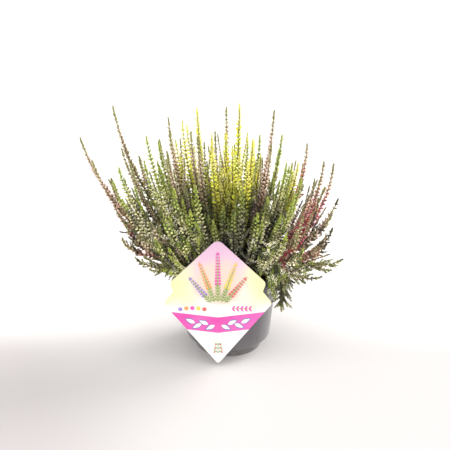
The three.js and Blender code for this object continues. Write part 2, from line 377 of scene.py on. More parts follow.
@dataclass(frozen=True)
class PeatFinish:
    """Dark fibrous peat, paler where it has dried."""

    name: str = "peat"
    wet: str = "1c130d"
    damp: str = "35251a"
    dry: str = "5b4431"
    fibre: str = "8a7050"
    fibre_edge: Span = (0.66, 0.72)
    roughness: Span = (0.95, 0.8)
    relief: float = 0.6

    def material(self) -> bpy.types.Material:
        """Wires the finish.

        Returns:
            The finished material.
        """
        board = Board(self.name, Specular_IOR_Level=0.2)
        clouds = board.grain(420.0, detail=6.0)
        colour = board.ramp(clouds, {0.3: self.wet, 0.52: self.damp, 0.72: self.dry})
        fibres = board.grain(1900.0, detail=3.0, stretch=3.0)
        colour = board.blend(board.spread(fibres, self.fibre_edge, (0.0, 0.7)), colour, self.fibre)
        board.emboss(board.grain(1500.0, detail=5.0), self.relief)
        return board.finish(colour, board.spread(clouds, CLOUD, self.roughness))


@dataclass(frozen=True)
class BudFinish:
    """Closed buds whose colour deepens down the spike, with a green husk at their root that is kept dark
    partly as painted shade, and with painted shade in the heart of the bush.
    """

    name: str
    young: str
    middle: str
    ripe: str
    low: str
    husk_and_shade: str
    husk_edge: Span = (0.2, 0.48)
    hues: Span = (0.482, 0.518)
    lights: Span = (0.72, 1.2)
    roughness: Span = (0.62, 0.46)
    relief: float = 0.08

    def material(self) -> bpy.types.Material:
        """Wires the finish.

        Returns:
            The finished material.
        """
        board = Board(self.name, Specular_IOR_Level=0.35, Sheen_Weight=0.15)
        stops = {0.1: self.young, 0.19: self.middle, 0.4: self.ripe, 0.74: self.low}
        colour = board.ramp(board.mark("age"), stops)
        # the husk is the bud's real green root, darkened further as painted shade between the buds
        root = board.spread(board.mark("along"), self.husk_edge, (1.0, 0.0), smooth=True)
        colour = board.blend(root, colour, self.husk_and_shade)
        tint = board.mark("tint")
        wander = board.spread(board.grain(60.0, detail=2.0), CLOUD, self.hues)
        # painted shade from PAINTED_SHADE darkens the buds in the heart of the bush and in low patches
        value = board.times(board.spread(tint, SHARE, self.lights), PAINTED_SHADE.light(board))
        colour = board.vary(colour, wander, value)
        board.emboss(board.grain(2400.0, detail=2.0), self.relief)
        return board.finish(colour, board.spread(tint, SHARE, self.roughness))


@dataclass(frozen=True)
class NeedleFinish:
    """Small scale leaves, fresh at the tips and darker and greyer low down, partly as painted shade, each
    painted darker at its root and lighter at its tip, with painted shade in the heart of the bush.
    """

    name: str
    fresh: str
    full: str
    old: str
    root_shade_tip_light: Span = (0.84, 1.2)
    hues: Span = (0.485, 0.512)
    lights: Span = (0.6, 1.25)
    roughness: Span = (0.66, 0.5)

    def material(self) -> bpy.types.Material:
        """Wires the finish.

        Returns:
            The finished material.
        """
        board = Board(self.name, Specular_IOR_Level=0.35, Sheen_Weight=0.15)
        # the old shade low on the spikes is kept dark partly as painted shade for the hollows
        colour = board.ramp(board.mark("age"), {0.04: self.fresh, 0.4: self.full, 0.9: self.old})
        tint = board.mark("tint")
        # painted shade at each leaf's root, where it meets the stem, and a painted highlight at its tip
        edge = board.spread(board.mark("along"), (0.35, 1.0), self.root_shade_tip_light)
        value = board.times(edge, board.spread(tint, SHARE, self.lights))
        # painted shade from PAINTED_SHADE darkens the leaves in the heart of the bush and in low patches
        value = board.times(value, PAINTED_SHADE.light(board))
        wander = board.spread(board.grain(45.0, detail=2.0), CLOUD, self.hues)
        return board.finish(board.vary(colour, wander, value),
                            board.spread(tint, SHARE, self.roughness))


@dataclass(frozen=True)
class BarkFinish:
    """Thin brown bark, reddish and smoother towards the tips and dark at the foot partly as painted shade,
    with painted shade in the heart of the bush.
    """

    name: str = "heather_bark"
    tip: str = "6f6a45"
    twig: str = "6b4e37"
    foot: str = "46352a"
    lights: Span = (0.7, 1.25)
    roughness: Span = (0.85, 0.65)
    relief: float = 0.3

    def material(self) -> bpy.types.Material:
        """Wires the finish.

        Returns:
            The finished material.
        """
        board = Board(self.name, Specular_IOR_Level=0.3)
        # the foot shade is kept dark partly as painted shade low in the bush
        colour = board.ramp(board.mark("age"), {0.1: self.tip, 0.45: self.twig, 0.9: self.foot})
        flakes = board.grain(900.0, detail=4.0, stretch=5.0)
        # painted shade from PAINTED_SHADE darkens the bark in the heart of the bush and in low patches
        value = board.times(board.spread(flakes, CLOUD, self.lights), PAINTED_SHADE.light(board))
        board.emboss(flakes, self.relief)
        return board.finish(board.vary(colour, 0.5, value),
                            board.spread(flakes, CLOUD, self.roughness))


@dataclass(frozen=True)
class CardFinish:
    """Gloss card: a lilac top that fades to cream shoulders and white, above a rose chevron."""

    name: str = "printed_card"
    middle: float = CARD_MIDDLE
    face: float = CARD_BACK - CARD_THICKNESS / 2
    face_edge: float = 0.1
    white: str = "f4f1ec"
    blur: Span = (-6.0, 6.0)
    fade: Span = (70.0, 165.0)
    fade_shades: tuple[str, str, str, str] = ("e6e1db", "dccfc8", "d6b6c8", "c4a0ba")
    shoulder: str = "dcd9a4"
    shoulder_off: Span = (18.0, 50.0)
    shoulder_up: Span = (74.0, 100.0)
    glow: str = "dac0ae"
    glow_height: float = 112.0
    glow_reach: Span = (22.0, 34.0)
    glow_share: float = 0.85
    rose: tuple[str, str] = ("cc4199", "d65fab")
    band: Span = (46.0, 67.0)
    band_edge: float = 0.4
    band_rise: float = 0.13
    relief: float = 0.02

    def material(self) -> bpy.types.Material:
        """Wires the finish.

        Returns:
            The finished material.
        """
        board = Board(self.name, Specular_IOR_Level=0.5, Coat_Weight=0.3, Coat_Roughness=0.18)
        x, y, z = board.axes()
        off = board.sum("ABSOLUTE", board.sum("SUBTRACT", x, self.middle * MM))
        wash = board.grain(34.0, detail=3.0)
        blur = board.spread(wash, CLOUD, metres(self.blur))
        high = board.sum("ADD", z, blur)
        colour = board.ramp(board.spread(high, metres(self.fade)),
                            dict(zip((0.0, 0.3, 0.6, 1.0), self.fade_shades)))
        side = board.spread(board.sum("ADD", off, blur), metres(self.shoulder_off), smooth=True)
        above = board.spread(high, metres(self.shoulder_up), smooth=True)
        colour = board.blend(board.times(side, above), colour, self.shoulder)
        rise = board.sum("SUBTRACT", high, self.glow_height * MM)
        near = board.spread(board.length(off, rise), metres(self.glow_reach),
                            (self.glow_share, 0.0), smooth=True)
        colour = board.blend(near, colour, self.glow)
        level = board.sum("SUBTRACT", z, board.times(off, self.band_rise))
        over, under = (metres((edge, edge + self.band_edge)) for edge in self.band)
        band = board.times(board.spread(level, over), board.spread(level, under, (1.0, 0.0)))
        front = board.spread(y, metres((self.face, self.face + self.face_edge)), (1.0, 0.0))
        rose = board.blend(board.spread(wash, CLOUD), *self.rose)
        colour = board.blend(board.times(band, front), colour, rose)
        colour = board.blend(front, self.white, colour)
        board.emboss(board.grain(700.0, detail=2.0), self.relief)
        return board.finish(colour, board.spread(wash, CLOUD, (0.3, 0.4)))


@dataclass(frozen=True)
class InkFinish:
    """Printed ink with a faint screen grain."""

    name: str
    code: str
    worn: str
    lights: Span = (0.9, 1.08)
    roughness: Span = (0.32, 0.4)

    def material(self) -> bpy.types.Material:
        """Wires the finish.

        Returns:
            The finished material.
        """
        board = Board(self.name, Specular_IOR_Level=0.5, Coat_Weight=0.3, Coat_Roughness=0.2)
        dots = board.spread(board.grain(1500.0, detail=2.0), CLOUD)
        cloud = board.spread(board.grain(120.0, detail=2.0), CLOUD, self.lights)
        colour = board.vary(board.blend(dots, self.code, self.worn), 0.5, cloud)
        return board.finish(colour, board.spread(dots, SHARE, self.roughness))


@dataclass(frozen=True)
class FloorFinish:
    """Pale studio floor, sized in metres, with painted shade that greys it towards the front left and
    painted light that whitens it behind.
    """

    name: str = "studio_floor"
    plain: tuple[str, str] = ("c7c4c4", "cac7c7")
    left: str = "bfbabb"
    far: str = "eeebea"
    shade_slant: Span = (-0.9, -0.45)
    shade_edge: Span = (0.13, 0.27)
    far_edge: Span = (-0.05, 0.11)
    roughness: Span = (0.85, 0.9)

    def material(self) -> bpy.types.Material:
        """Wires the finish.

        Returns:
            The finished material.
        """
        board = Board(self.name, Specular_IOR_Level=0.1)
        x, y, _ = board.axes()
        # painted shade: the floor greys towards the front left, standing in for the plant's broad soft
        # shadow there
        away = board.sum("ADD", *(board.times(axis, slant)
                                  for axis, slant in zip((x, y), self.shade_slant)))
        clouds = board.grain(3.0, detail=2.0)
        colour = board.blend(clouds, *self.plain)
        colour = board.blend(board.spread(away, self.shade_edge, smooth=True), colour, self.left)
        # painted light: whiter behind, which washes out the front light's shadow behind the plant and fades
        # the floor into the white air
        colour = board.blend(board.spread(y, self.far_edge, smooth=True), colour, self.far)
        return board.finish(colour, board.spread(clouds, CLOUD, self.roughness))


def unit(vectors: Array) -> Array:
    """Returns vectors at length one."""
    return vectors / np.linalg.norm(vectors, axis=-1, keepdims=True)


def square_to(tangents: Array) -> tuple[Array, Array]:
    """Returns two directions that are square to each tangent and to one another."""
    side = unit(np.cross(ASIDE, tangents))
    return side, np.cross(tangents, side)


def leaning(tangents: Array, out: Array, angles: Array) -> Array:
    """Returns directions that lean out from tangents by angles in radians."""
    return tangents * np.cos(angles)[:, None] + out * np.sin(angles)[:, None]


def closed_rings(rings: int, sides: int, first: int, base: int, tip: int) -> Array:
    """Joins rings of corners into a closed skin.

    Args:
        rings: How many rings there are.
        sides: Corners of each ring.
        first: The number of the first ring's first corner.
        base: The number of the point that closes the first ring.
        tip: The number of the point that closes the last ring.

    Returns:
        The triangles.
    """
    k = np.arange(sides)
    after = (k + 1) % sides
    faces = [np.stack([np.full(sides, base), first + after, first + k], axis=1)]
    for ring in range(rings - 1):
        low = first + ring * sides
        high = low + sides
        faces.append(np.stack([low + k, low + after, high + after], axis=1))
        faces.append(np.stack([low + k, high + after, high + k], axis=1))
    top = first + (rings - 1) * sides
    faces.append(np.stack([top + k, top + after, np.full(sides, tip)], axis=1))
    return np.concatenate(faces)


def turned(profile: list[Span], sides: int, start: float = 0.0) -> tuple[Array, Array]:
    """Turns a profile round Z into a closed shape.

    Args:
        profile: Radius and height of its corners, which start and end on the axis.
        sides: Corners of each ring.
        start: The turn of each ring's first corner, in radians.

    Returns:
        Points and triangles.
    """
    turns = np.arange(sides) * 2 * math.pi / sides + start
    foot, *rings, head = profile
    points = [np.array([[0.0, 0.0, foot[1]]])]
    for radius, height in rings:
        points.append(np.stack([radius * np.cos(turns), radius * np.sin(turns),
                                np.full(sides, height)], axis=1))
    points.append(np.array([[0.0, 0.0, head[1]]]))
    faces = closed_rings(len(rings), sides, 1, 0, 1 + len(rings) * sides)
    return np.concatenate(points), faces


@dataclass(frozen=True)
class Form:
    """Small closed shape that stands along +Z on the origin, one unit long and wide."""

    points: Array
    faces: Array

    @classmethod
    def bead(cls, rings: list[Span], sides: int) -> "Form":
        """Turns rings, given by radius and height, between end points at heights 0 and 1."""
        return cls(*turned([(0.0, 0.0), *rings, (0.0, 1.0)], sides))

    @classmethod
    def spire(cls, sides: int) -> "Form":
        """Makes a closed pyramid with its widest part at the root.

        Args:
            sides: Corners of its root.

        Returns:
            The pyramid.
        """
        turns = np.arange(sides) * 2 * math.pi / sides
        points = [(0.5 * math.cos(a), 0.5 * math.sin(a), 0.0) for a in turns] + [(0.0, 0.0, 1.0)]
        faces = [(k, (k + 1) % sides, sides) for k in range(sides)]
        faces += [(0, k + 1, k) for k in range(1, sides - 1)]
        return cls(np.array(points), np.array(faces))


BUD = Form.bead([(0.5, 0.4), (0.46, 0.78)], 4)
BUDLET = Form.bead([(0.5, 0.5)], 4)
NEEDLE = Form.spire(3)
CRUMB = Form.bead([(0.45, 0.25), (0.5, 0.65)], 5)


class Slot(Enum):
    """The materials of a spray, in the order of their slots."""

    BARK = 0
    NEEDLES = 1
    BUDS = 2


class Growth:
    """Collects the shapes of one mesh, with the numbers that its finishes read."""

    MARKS = ("age", "tint", "along")
    STEEP = 0.9

    def __init__(self) -> None:
        """Starts with nothing grown."""
        self.points: list[Array] = []
        self.faces: list[Array] = []
        self.slots: list[Array] = []
        self.marks: dict[str, list[Array]] = {name: [] for name in self.MARKS}
        self.count = 0

    def add(self, points: Array, faces: Array, slot: int, age: Array, tint: Array,
            along: Array) -> None:
        """Adds one block of points and triangles.

        Args:
            points: Points in millimetres.
            faces: Triangles that count from the block's first point.
            slot: The material slot.
            age: Each point's age, 0 at a spike's tip and 1 at its foot.
            tint: Each point's random shade.
            along: Each point's place from the root to the end of its own small shape.
        """
        self.points.append(points)
        self.faces.append(faces + self.count)
        self.slots.append(np.full(len(faces), slot))
        for name, values in zip(self.MARKS, (age, tint, along)):
            self.marks[name].append(np.broadcast_to(values, len(points)))
        self.count += len(points)

    def scatter(self, form: Form, slot: int, roots: Array, aims: Array, lengths: Array,
                breadths: Array, age: Array, rng: np.random.Generator) -> None:
        """Places copies of a small shape.

        Args:
            form: The shape.
            slot: The material slot.
            roots: Where each copy stands.
            aims: Which way each copy points.
            lengths: How long each copy is.
            breadths: How wide each copy is.
            age: Each copy's age.
            rng: Source of each copy's turn and shade.
        """
        number = len(roots)
        if number == 0:
            return
        aims = unit(aims)
        helper = np.where(np.abs(aims[:, 2:]) > self.STEEP, np.array([[1.0, 0.0, 0.0]]), UP)
        side = unit(np.cross(helper, aims))
        front = np.cross(aims, side)
        turns = rng.uniform(0, 2 * math.pi, number)[:, None]
        first = side * np.cos(turns) + front * np.sin(turns)
        second = np.cross(aims, first)
        shape = form.points
        points = (roots[:, None]
                  + first[:, None] * (shape[:, 0] * breadths[:, None])[..., None]
                  + second[:, None] * (shape[:, 1] * breadths[:, None])[..., None]
                  + aims[:, None] * (shape[:, 2] * lengths[:, None])[..., None])
        steps = np.arange(number)[:, None, None] * len(shape)
        faces = (form.faces[None] + steps).reshape(-1, 3)
        each = len(shape)
        self.add(points.reshape(-1, 3), faces, slot, np.repeat(age, each),
                 np.repeat(rng.uniform(0, 1, number), each), np.tile(shape[:, 2], number))

    def tube(self, middles: Array, tangents: Array, radii: Array, sides: int, slot: int,
             age: Array) -> None:
        """Adds a stem that is closed at its foot and pointed at its tip.

        Args:
            middles: Points along the stem's middle.
            tangents: The stem's direction at each of them.
            radii: The stem's radius at each of them.
            sides: Corners of its section.
            slot: The material slot.
            age: The age at each of them.
        """
        side, front = square_to(tangents)
        turns = np.arange(sides) * 2 * math.pi / sides
        rings = (middles[:, None] + radii[:, None, None]
                 * (side[:, None] * np.cos(turns)[:, None] + front[:, None] * np.sin(turns)[:, None]))
        points = np.concatenate([rings.reshape(-1, 3), middles[:1], middles[-1:]])
        base = len(middles) * sides
        faces = closed_rings(len(middles), sides, 0, base, base + 1)
        ages = np.concatenate([np.repeat(age, sides), age[:1], age[-1:]])
        plain = np.full(len(points), 0.5)
        self.add(points, faces, slot, ages, plain, plain)

    def mesh(self, name: str, materials: list[bpy.types.Material]) -> bpy.types.Object:
        """Turns the growth into a smooth-shaded object in metres.

        Args:
            name: The object's name.
            materials: The material of each slot.

        Returns:
            The new object.
        """
        points = np.concatenate(self.points) * MM
        faces = np.concatenate(self.faces)
        piece = new_object(name, points, faces, materials)
        data = piece.data
        data.polygons.foreach_set("material_index", np.concatenate(self.slots).astype(np.int32))
        for key, blocks in self.marks.items():
            layer = data.attributes.new(key, "FLOAT", "POINT")
            layer.data.foreach_set("value", np.concatenate(blocks).astype(np.float32))
        return piece


def new_object(name: str, points: Array, faces: Array | list,
               materials: list[bpy.types.Material], smooth: bool = True) -> bpy.types.Object:
    """Makes a mesh object.

    Args:
        name: The object's name.
        points: Its points in metres.
        faces: Its faces.
        materials: The material of each slot.
        smooth: Whether it is smooth-shaded.

    Returns:
        The new object.
    """
    data = bpy.data.meshes.new(name)
    data.from_pydata(points.tolist(), [], faces.tolist() if isinstance(faces, Array) else faces)
    data.polygons.foreach_set("use_smooth", [smooth] * len(data.polygons))
    data.update()
    for material in materials:
        data.materials.append(material)
    piece = bpy.data.objects.new(name, data)
    bpy.context.scene.collection.objects.link(piece)
    return piece


def prism(name: str, near: Array, far: Array, material: bpy.types.Material) -> bpy.types.Object:
    """Joins two like outlines into a flat-shaded solid.

    Args:
        name: The object's name.
        near: One outline's points in millimetres, anticlockwise as seen from outside.
        far: The other outline's points, in the same order.
        material: The solid's material.

    Returns:
        The new object.
    """
    number = len(near)
    ring = list(range(number))
    faces = [ring, [number + k for k in reversed(ring)]]
    faces += [[(k + 1) % number, k, number + k, number + (k + 1) % number] for k in ring]
    return new_object(name, np.concatenate([near, far]) * MM, faces, [material], smooth=False)


def settle(piece: bpy.types.Object, slot: str, *nodes: str) -> None:
    """Ties a piece to the part.

    Args:
        piece: The piece.
        slot: Its finish slot, which is not used.
        nodes: The nodes that it stands for.
    """
    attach(piece, BODY)
    if nodes:
        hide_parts(*nodes)
    LOG.info("%s: %d faces", piece.name, len(piece.data.polygons))


def combine(piece: bpy.types.Object, other: bpy.types.Object, operation: str) -> None:
    """Adds another solid to a piece, or cuts it away, and deletes the other.

    Args:
        piece: The piece, whose mesh is replaced.
        other: The other solid.
        operation: UNION to add it and DIFFERENCE to cut it away.
    """
    boolean = piece.modifiers.new(operation.lower(), "BOOLEAN")
    boolean.operation = operation
    boolean.object = other
    seen = piece.evaluated_get(bpy.context.evaluated_depsgraph_get())
    made = bpy.data.meshes.new_from_object(seen)
    piece.modifiers.clear()
    piece.data = made
    bpy.data.objects.remove(other)


def rounded(corners: list[tuple[float, float, float]], steps: int = 6) -> list[Span]:
    """Eases each inner corner of an open line.

    Args:
        corners: Each corner's two coordinates and the length eased on either side of it.
        steps: Pieces of each eased corner.

    Returns:
        The points of the eased line.
    """
    line = []
    for i, (x, y, ease) in enumerate(corners):
        if ease == 0:
            line.append((x, y))
            continue
        here = np.array([x, y])
        ends = []
        for other in (corners[i - 1], corners[(i + 1) % len(corners)]):
            away = np.array(other[:2]) - here
            ends.append(here + away / np.linalg.norm(away) * ease)
        for step in range(steps + 1):
            t = step / steps
            spot = (1 - t) ** 2 * ends[0] + 2 * t * (1 - t) * here + t * t * ends[1]
            line.append((float(spot[0]), float(spot[1])))
    return line


@dataclass
class Pot:
    """Tapered nursery pot with a banded rim, a stepped-in foot and drain slots below."""

    rim_radius: float = 65.0
    height: float = 105.0
    band: float = 9.0
    overhang: float = 1.1
    wall_foot_radius: float = 55.1
    step_height: float = 15.0
    step_drop: float = 2.0
    foot_top_radius: float = 46.0
    foot_radius: float = 44.5
    wall: float = 1.3
    floor: float = 1.5
    drains: int = 8
    drain_length: float = 12.0
    drain_width: float = 5.0
    drain_reach: float = 32.0
    sides: int = 128
    sharp: float = 35.0

    def wall_radius(self, height: float) -> float:
        """Works out the outside radius of the tapered wall.

        Args:
            height: The height above the floor.

        Returns:
            The radius there.
        """
        share = (height - self.step_height) / (self.height - self.step_height)
        top = self.rim_radius - self.overhang
        return self.wall_foot_radius + (top - self.wall_foot_radius) * share

    def profile(self) -> list[Span]:
        """Draws the section of the pot.

        Returns:
            Its corners, from the middle of the underside round to the inside.
        """
        low = self.height - self.band
        step = self.step_height
        drop = step - self.step_drop
        return rounded([
            (0.0, 0.0, 0.0),
            (self.foot_radius, 0.0, 0.9),
            (self.foot_top_radius, drop, 1.2),
            (self.wall_foot_radius, step, 1.6),
            (self.wall_radius(low), low, 0.5),
            (self.rim_radius, low + self.overhang, 0.5),
            (self.rim_radius, self.height, 0.9),
            (self.wall_radius(self.height) - self.wall, self.height, 0.5),
            (self.wall_foot_radius - self.wall, step + self.wall, 1.2),
            (self.foot_top_radius - self.wall, drop + self.wall, 0.8),
            (self.foot_radius - self.wall, self.floor, 0.5),
            (0.0, self.floor, 0.0),
        ])

    def cutter(self) -> bpy.types.Object:
        """Makes the blocks that cut the drain slots.

        Returns:
            All the blocks as one object.
        """
        long = self.drain_length / 2
        half = self.drain_width / 2
        high = 1.5 * self.floor
        corners = np.array([(x, y, z) for x in (-long, long) for y in (-half, half)
                            for z in (-high, high)])
        sides = [(0, 1, 3, 2), (4, 6, 7, 5), (0, 4, 5, 1), (2, 3, 7, 6), (0, 2, 6, 4), (1, 5, 7, 3)]
        points, faces = [], []
        for i in range(self.drains):
            turn = (i + 0.5) / self.drains * 2 * math.pi
            c, s = math.cos(turn), math.sin(turn)
            x = corners[:, 0] + self.drain_reach
            y = corners[:, 1]
            points.append(np.stack([x * c - y * s, x * s + y * c, corners[:, 2]], axis=1))
            faces += [tuple(8 * i + k for k in side) for side in sides]
        return new_object("drain_cutter", np.concatenate(points) * MM, faces, [])

    def build(self) -> None:
        """Builds and dresses the pot."""
        points, faces = turned(self.profile(), self.sides, -math.pi / 2)
        pot = new_object("nursery_pot", points * MM, faces, [PlasticFinish().material()])
        combine(pot, self.cutter(), "DIFFERENCE")
        pot.data.polygons.foreach_set("use_smooth", [True] * len(pot.data.polygons))
        pot.data.set_sharp_from_angle(angle=math.radians(self.sharp))
        settle(pot, "pot_plastic", "pot")


@dataclass
class Peat:
    """Root ball that fills the pot, with a crumbly top."""

    pot: Pot
    top: float = SOIL_TOP
    gap: float = 0.3
    edge_drop: float = 2.0
    edge_width: float = 5.0
    rough_depth: float = 2.5
    roughness: float = 1.1
    coarse: float = 160.0
    fine: float = 420.0
    fine_share: float = 0.6
    rings: int = 34
    sides: int = 120
    crumbs: int = 620
    crumb_sizes: Span = (0.9, 2.6)
    crumb_widths: Span = (0.5, 1.1)
    crumb_sink: float = 1.2
    seed: int = 11

    def profile(self) -> list[Span]:
        """Draws the section of the root ball.

        Returns:
            Its corners, from the middle of the underside to the middle of the top.
        """
        pot = self.pot
        off = pot.wall + self.gap
        edge = pot.wall_radius(self.top) - off
        inner = edge - self.edge_width
        drop = pot.step_height - pot.step_drop + off
        sides = [
            (0.0, pot.floor + self.gap),
            (pot.foot_radius - off, pot.floor + self.gap),
            (pot.foot_top_radius - off, drop),
            (pot.wall_foot_radius - off, pot.step_height + off),
            (edge - self.gap, self.top - self.edge_drop),
        ]
        spread = [(inner * (1 - k / self.rings), self.top) for k in range(self.rings)]
        return sides + spread + [(0.0, self.top)]

    def build(self) -> None:
        """Builds and dresses the peat."""
        points, faces = turned(self.profile(), self.sides, -math.pi / 2)
        points = points * MM
        level = (self.top - self.rough_depth) * MM
        for point in points:
            if point[2] > level:
                spot = Vector(point)
                rough = noise.noise(spot * self.coarse)
                rough += self.fine_share * noise.noise(spot * self.fine)
                point[2] += self.roughness * MM * (rough - 0.5)
        growth = Growth()
        growth.add(points / MM, faces, 0, np.ones(1), np.zeros(1), np.zeros(1))
        rng = np.random.default_rng(self.seed)
        reach = (self.pot.wall_radius(self.top) - self.edge_width) * np.sqrt(
            rng.uniform(0, 1, self.crumbs))
        turn = rng.uniform(0, 2 * math.pi, self.crumbs)
        roots = np.stack([reach * np.cos(turn), reach * np.sin(turn),
                          np.full(self.crumbs, self.top - self.crumb_sink)], axis=1)
        aims = rng.normal(0, 1, (self.crumbs, 3))
        aims[:, 2] = np.abs(aims[:, 2])
        size = rng.uniform(*self.crumb_sizes, self.crumbs)
        width = size * rng.uniform(*self.crumb_widths, self.crumbs)
        growth.scatter(CRUMB, 0, roots, aims, size, width, np.ones(self.crumbs), rng)
        settle(growth.mesh("peat_ball", [PeatFinish().material()]), "peat", "soil")


class Kind(Enum):
    """The five colours of heather in the pot."""

    MAUVE = "mauve"
    PINK = "pink"
    GOLD = "gold"
    WHITE = "white"
    CRIMSON = "crimson"


@dataclass(frozen=True)
class Habit:
    """How one kind of heather grows and is coloured."""

    fullness: float
    leafy_tip: float
    bud_size: float
    blooming_shoots: float
    needles: NeedleFinish
    buds: BudFinish
    upturn: float = 0.0
    late: float = 0.0
    leafiness: float = 1.0


HABITS = {
    Kind.MAUVE: Habit(1.0, 9.0, 1.0, 0.3,
                      NeedleFinish("mauve_needles", "9a9c5a", "707a2a", "38421a"),
                      BudFinish("mauve_buds", "aaaa70", "d2bca2", "a6926c", "949c48", "3a4018")),
    Kind.PINK: Habit(1.08, 9.0, 1.0, 0.4,
                     NeedleFinish("pink_needles", "9c9c5a", "6c7028", "343c14"),
                     BudFinish("pink_buds", "c0b486", "f0d8c8", "cca08c", "b4a060", "4a4420")),
    Kind.GOLD: Habit(1.45, 9.0, 0.82, 0.4,
                     NeedleFinish("gold_needles", "fbf76c", "d2d42a", "6f8016"),
                     BudFinish("gold_buds", "fdfb9c", "fdf75e", "dcdf36", "a8c02e", "8c9c10"),
                     leafiness=2.0),
    Kind.WHITE: Habit(1.15, 11.0, 0.98, 0.75,
                      NeedleFinish("white_needles", "b2c048", "7e9428", "3c4c14"),
                      BudFinish("white_buds", "a8ba4c", "dedc98", "fdf6d0", "fffae0", "4c5a1c"),
                      late=1.7),
    Kind.CRIMSON: Habit(1.05, 9.0, 1.05, 0.75,
                        NeedleFinish("crimson_needles", "949054", "60602a", "343212"),
                        BudFinish("crimson_buds", "b8aa80", "dcb29c", "cc4668", "cc2459",
                                  "4a2420"), upturn=1.0),
}


Tip = tuple[float, float, float]  # bearing in degrees, reach from the pot's axis and height


@dataclass(frozen=True)
class Row:
    """One forked spray: its kind, its spikes' tips and the shoots that hang from it."""

    kind: Kind
    main: Tip
    side: Tip | None = None
    skirt: int = 10
    hanging: float = 13.0
    trails: tuple[Tip, ...] = ()


MAUVE, PINK, GOLD, WHITE, CRIMSON = Kind

# The sprays in the order of the frame's nodes
ROWS = [
    # Left side and its outline
    Row(PINK, (182, 177, 274), (189, 162, 251)),
    Row(MAUVE, (172, 142, 308), (166, 140, 254)),
    Row(WHITE, (199, 140, 229), (195, 132, 244)),
    Row(MAUVE, (188, 118, 243), (185, 127, 226)),
    Row(WHITE, (189, 98, 277), (198, 103, 251)),
    Row(WHITE, (174, 86, 267), (166, 92, 240)),
    Row(PINK, (150, 88, 292), (148, 106, 262)),
    Row(MAUVE, (194, 71, 285), (204, 78, 262)),
    # Middle
    Row(GOLD, (166, 58, 291), (160, 70, 266)),
    Row(GOLD, (132, 59, 303), (133, 79, 280)),
    Row(MAUVE, (204, 48, 283), (222, 48, 279)),
    Row(GOLD, (230, 30, 262), (190, 20, 272)),
    Row(MAUVE, (93, 48, 304), (108, 55, 273)),
    Row(GOLD, (62, 29, 310), (98, 24, 275)),
    Row(GOLD, (286, 16, 265), (298, 28, 258)),
    Row(GOLD, (318, 38, 275), (300, 43, 250)),
    Row(GOLD, (28, 36, 266), (10, 40, 250)),
    Row(PINK, (354, 54, 306), (338, 54, 268)),
    Row(WHITE, (45, 57, 269), (61, 52, 263)),
    # Right side and its outline
    Row(WHITE, (21, 72, 273), (32, 76, 250)),
    Row(WHITE, (336, 74, 248), (346, 78, 246)),
    Row(GOLD, (3, 86, 241), (10, 82, 228)),
    Row(WHITE, (333, 94, 233), (327, 90, 214)),
    Row(CRIMSON, (13, 101, 262), (21, 103, 233)),
    Row(CRIMSON, (359, 116, 244), (351, 126, 245)),
    Row(CRIMSON, (341, 106, 230), (338, 113, 209)),
    Row(PINK, (5, 140, 193), (357, 129, 179)),
    Row(CRIMSON, (347, 129, 168), (339, 125, 155)),
    Row(MAUVE, (354, 145, 122), (345, 132, 115)),
    Row(WHITE, (328, 116, 137), (320, 111, 156), 16, 15.0),
    Row(MAUVE, (336, 123, 113), (316, 89, 73), 46, 17.0),
    # Front, above and beside the card
    Row(WHITE, (222, 84, 223), (217, 98, 200)),
    Row(WHITE, (236, 68, 227), (238, 82, 202)),
    Row(WHITE, (262, 44, 200), (252, 58, 186)),
    Row(WHITE, (310, 70, 212), (298, 70, 196)),
    Row(WHITE, (288, 52, 222), (276, 56, 198)),
    Row(WHITE, (229, 84, 174), (240, 70, 164)),
    Row(WHITE, (316, 92, 172), (306, 80, 160), 16, 15.0,
        ((315, 75, 88), (311, 74, 98), (319, 77, 92), (323, 76, 100))),
    Row(CRIMSON, (328, 101, 190), (322, 101, 172), 16, 15.0),
    Row(MAUVE, (211, 110, 196), (207, 124, 176)),
    Row(CRIMSON, (188, 128, 172), (196, 133, 158)),
    Row(MAUVE, (204, 122, 138), (214, 112, 128)),
    Row(WHITE, (219, 108, 167), (226, 107, 133)),
    # Back
    Row(PINK, (66, 80, 252)),
    Row(WHITE, (84, 84, 250), (90, 98, 230)),
    Row(MAUVE, (112, 86, 254)),
    Row(WHITE, (134, 106, 246), (140, 122, 222)),
    Row(MAUVE, (154, 130, 238)),
    Row(CRIMSON, (172, 150, 218), (178, 144, 190)),
    Row(MAUVE, (70, 118, 220), (62, 128, 194)),
    Row(CRIMSON, (94, 122, 222), (102, 130, 194)),
    Row(GOLD, (116, 120, 220), (122, 134, 190)),
    Row(WHITE, (42, 112, 222), (36, 128, 196)),
    Row(MAUVE, (20, 136, 200)),
    Row(WHITE, (80, 136, 162), (56, 138, 158)),
    Row(WHITE, (132, 140, 164), (114, 140, 158)),
]


class StemPath:
    """A stem's smooth middle line, walked by its length."""

    SAMPLES = 160

    def __init__(self, *corners: Array) -> None:
        """Measures the curve.

        Args:
            corners: The four points that bend it.
        """
        self.corners = [np.asarray(corner, float) for corner in corners]
        self.shares = np.linspace(0, 1, self.SAMPLES)
        line = self.curve(self.shares)
        steps = np.linalg.norm(np.diff(line, axis=0), axis=1)
        self.walked = np.concatenate([[0.0], np.cumsum(steps)])
        self.length = float(self.walked[-1])

    def curve(self, t: Array) -> Array:
        """Finds points by the curve's own parameter.

        Args:
            t: The parameters, from 0 at the foot to 1 at the tip.

        Returns:
            The points.
        """
        a, b, c, d = self.corners
        t = np.asarray(t, float)[:, None]
        s = 1 - t
        return s ** 3 * a + 3 * s * s * t * b + 3 * s * t * t * c + t ** 3 * d

    def at(self, distances: Array) -> tuple[Array, Array]:
        """Finds points by how far they lie along the stem.

        Args:
            distances: The distances from the foot.

        Returns:
            The points and the stem's directions there.
        """
        t = np.interp(distances, self.walked, self.shares)
        a, b, c, d = self.corners
        w = t[:, None]
        slope = 3 * (1 - w) ** 2 * (b - a) + 6 * (1 - w) * w * (c - b) + 3 * w * w * (d - c)
        return self.curve(t), unit(slope)


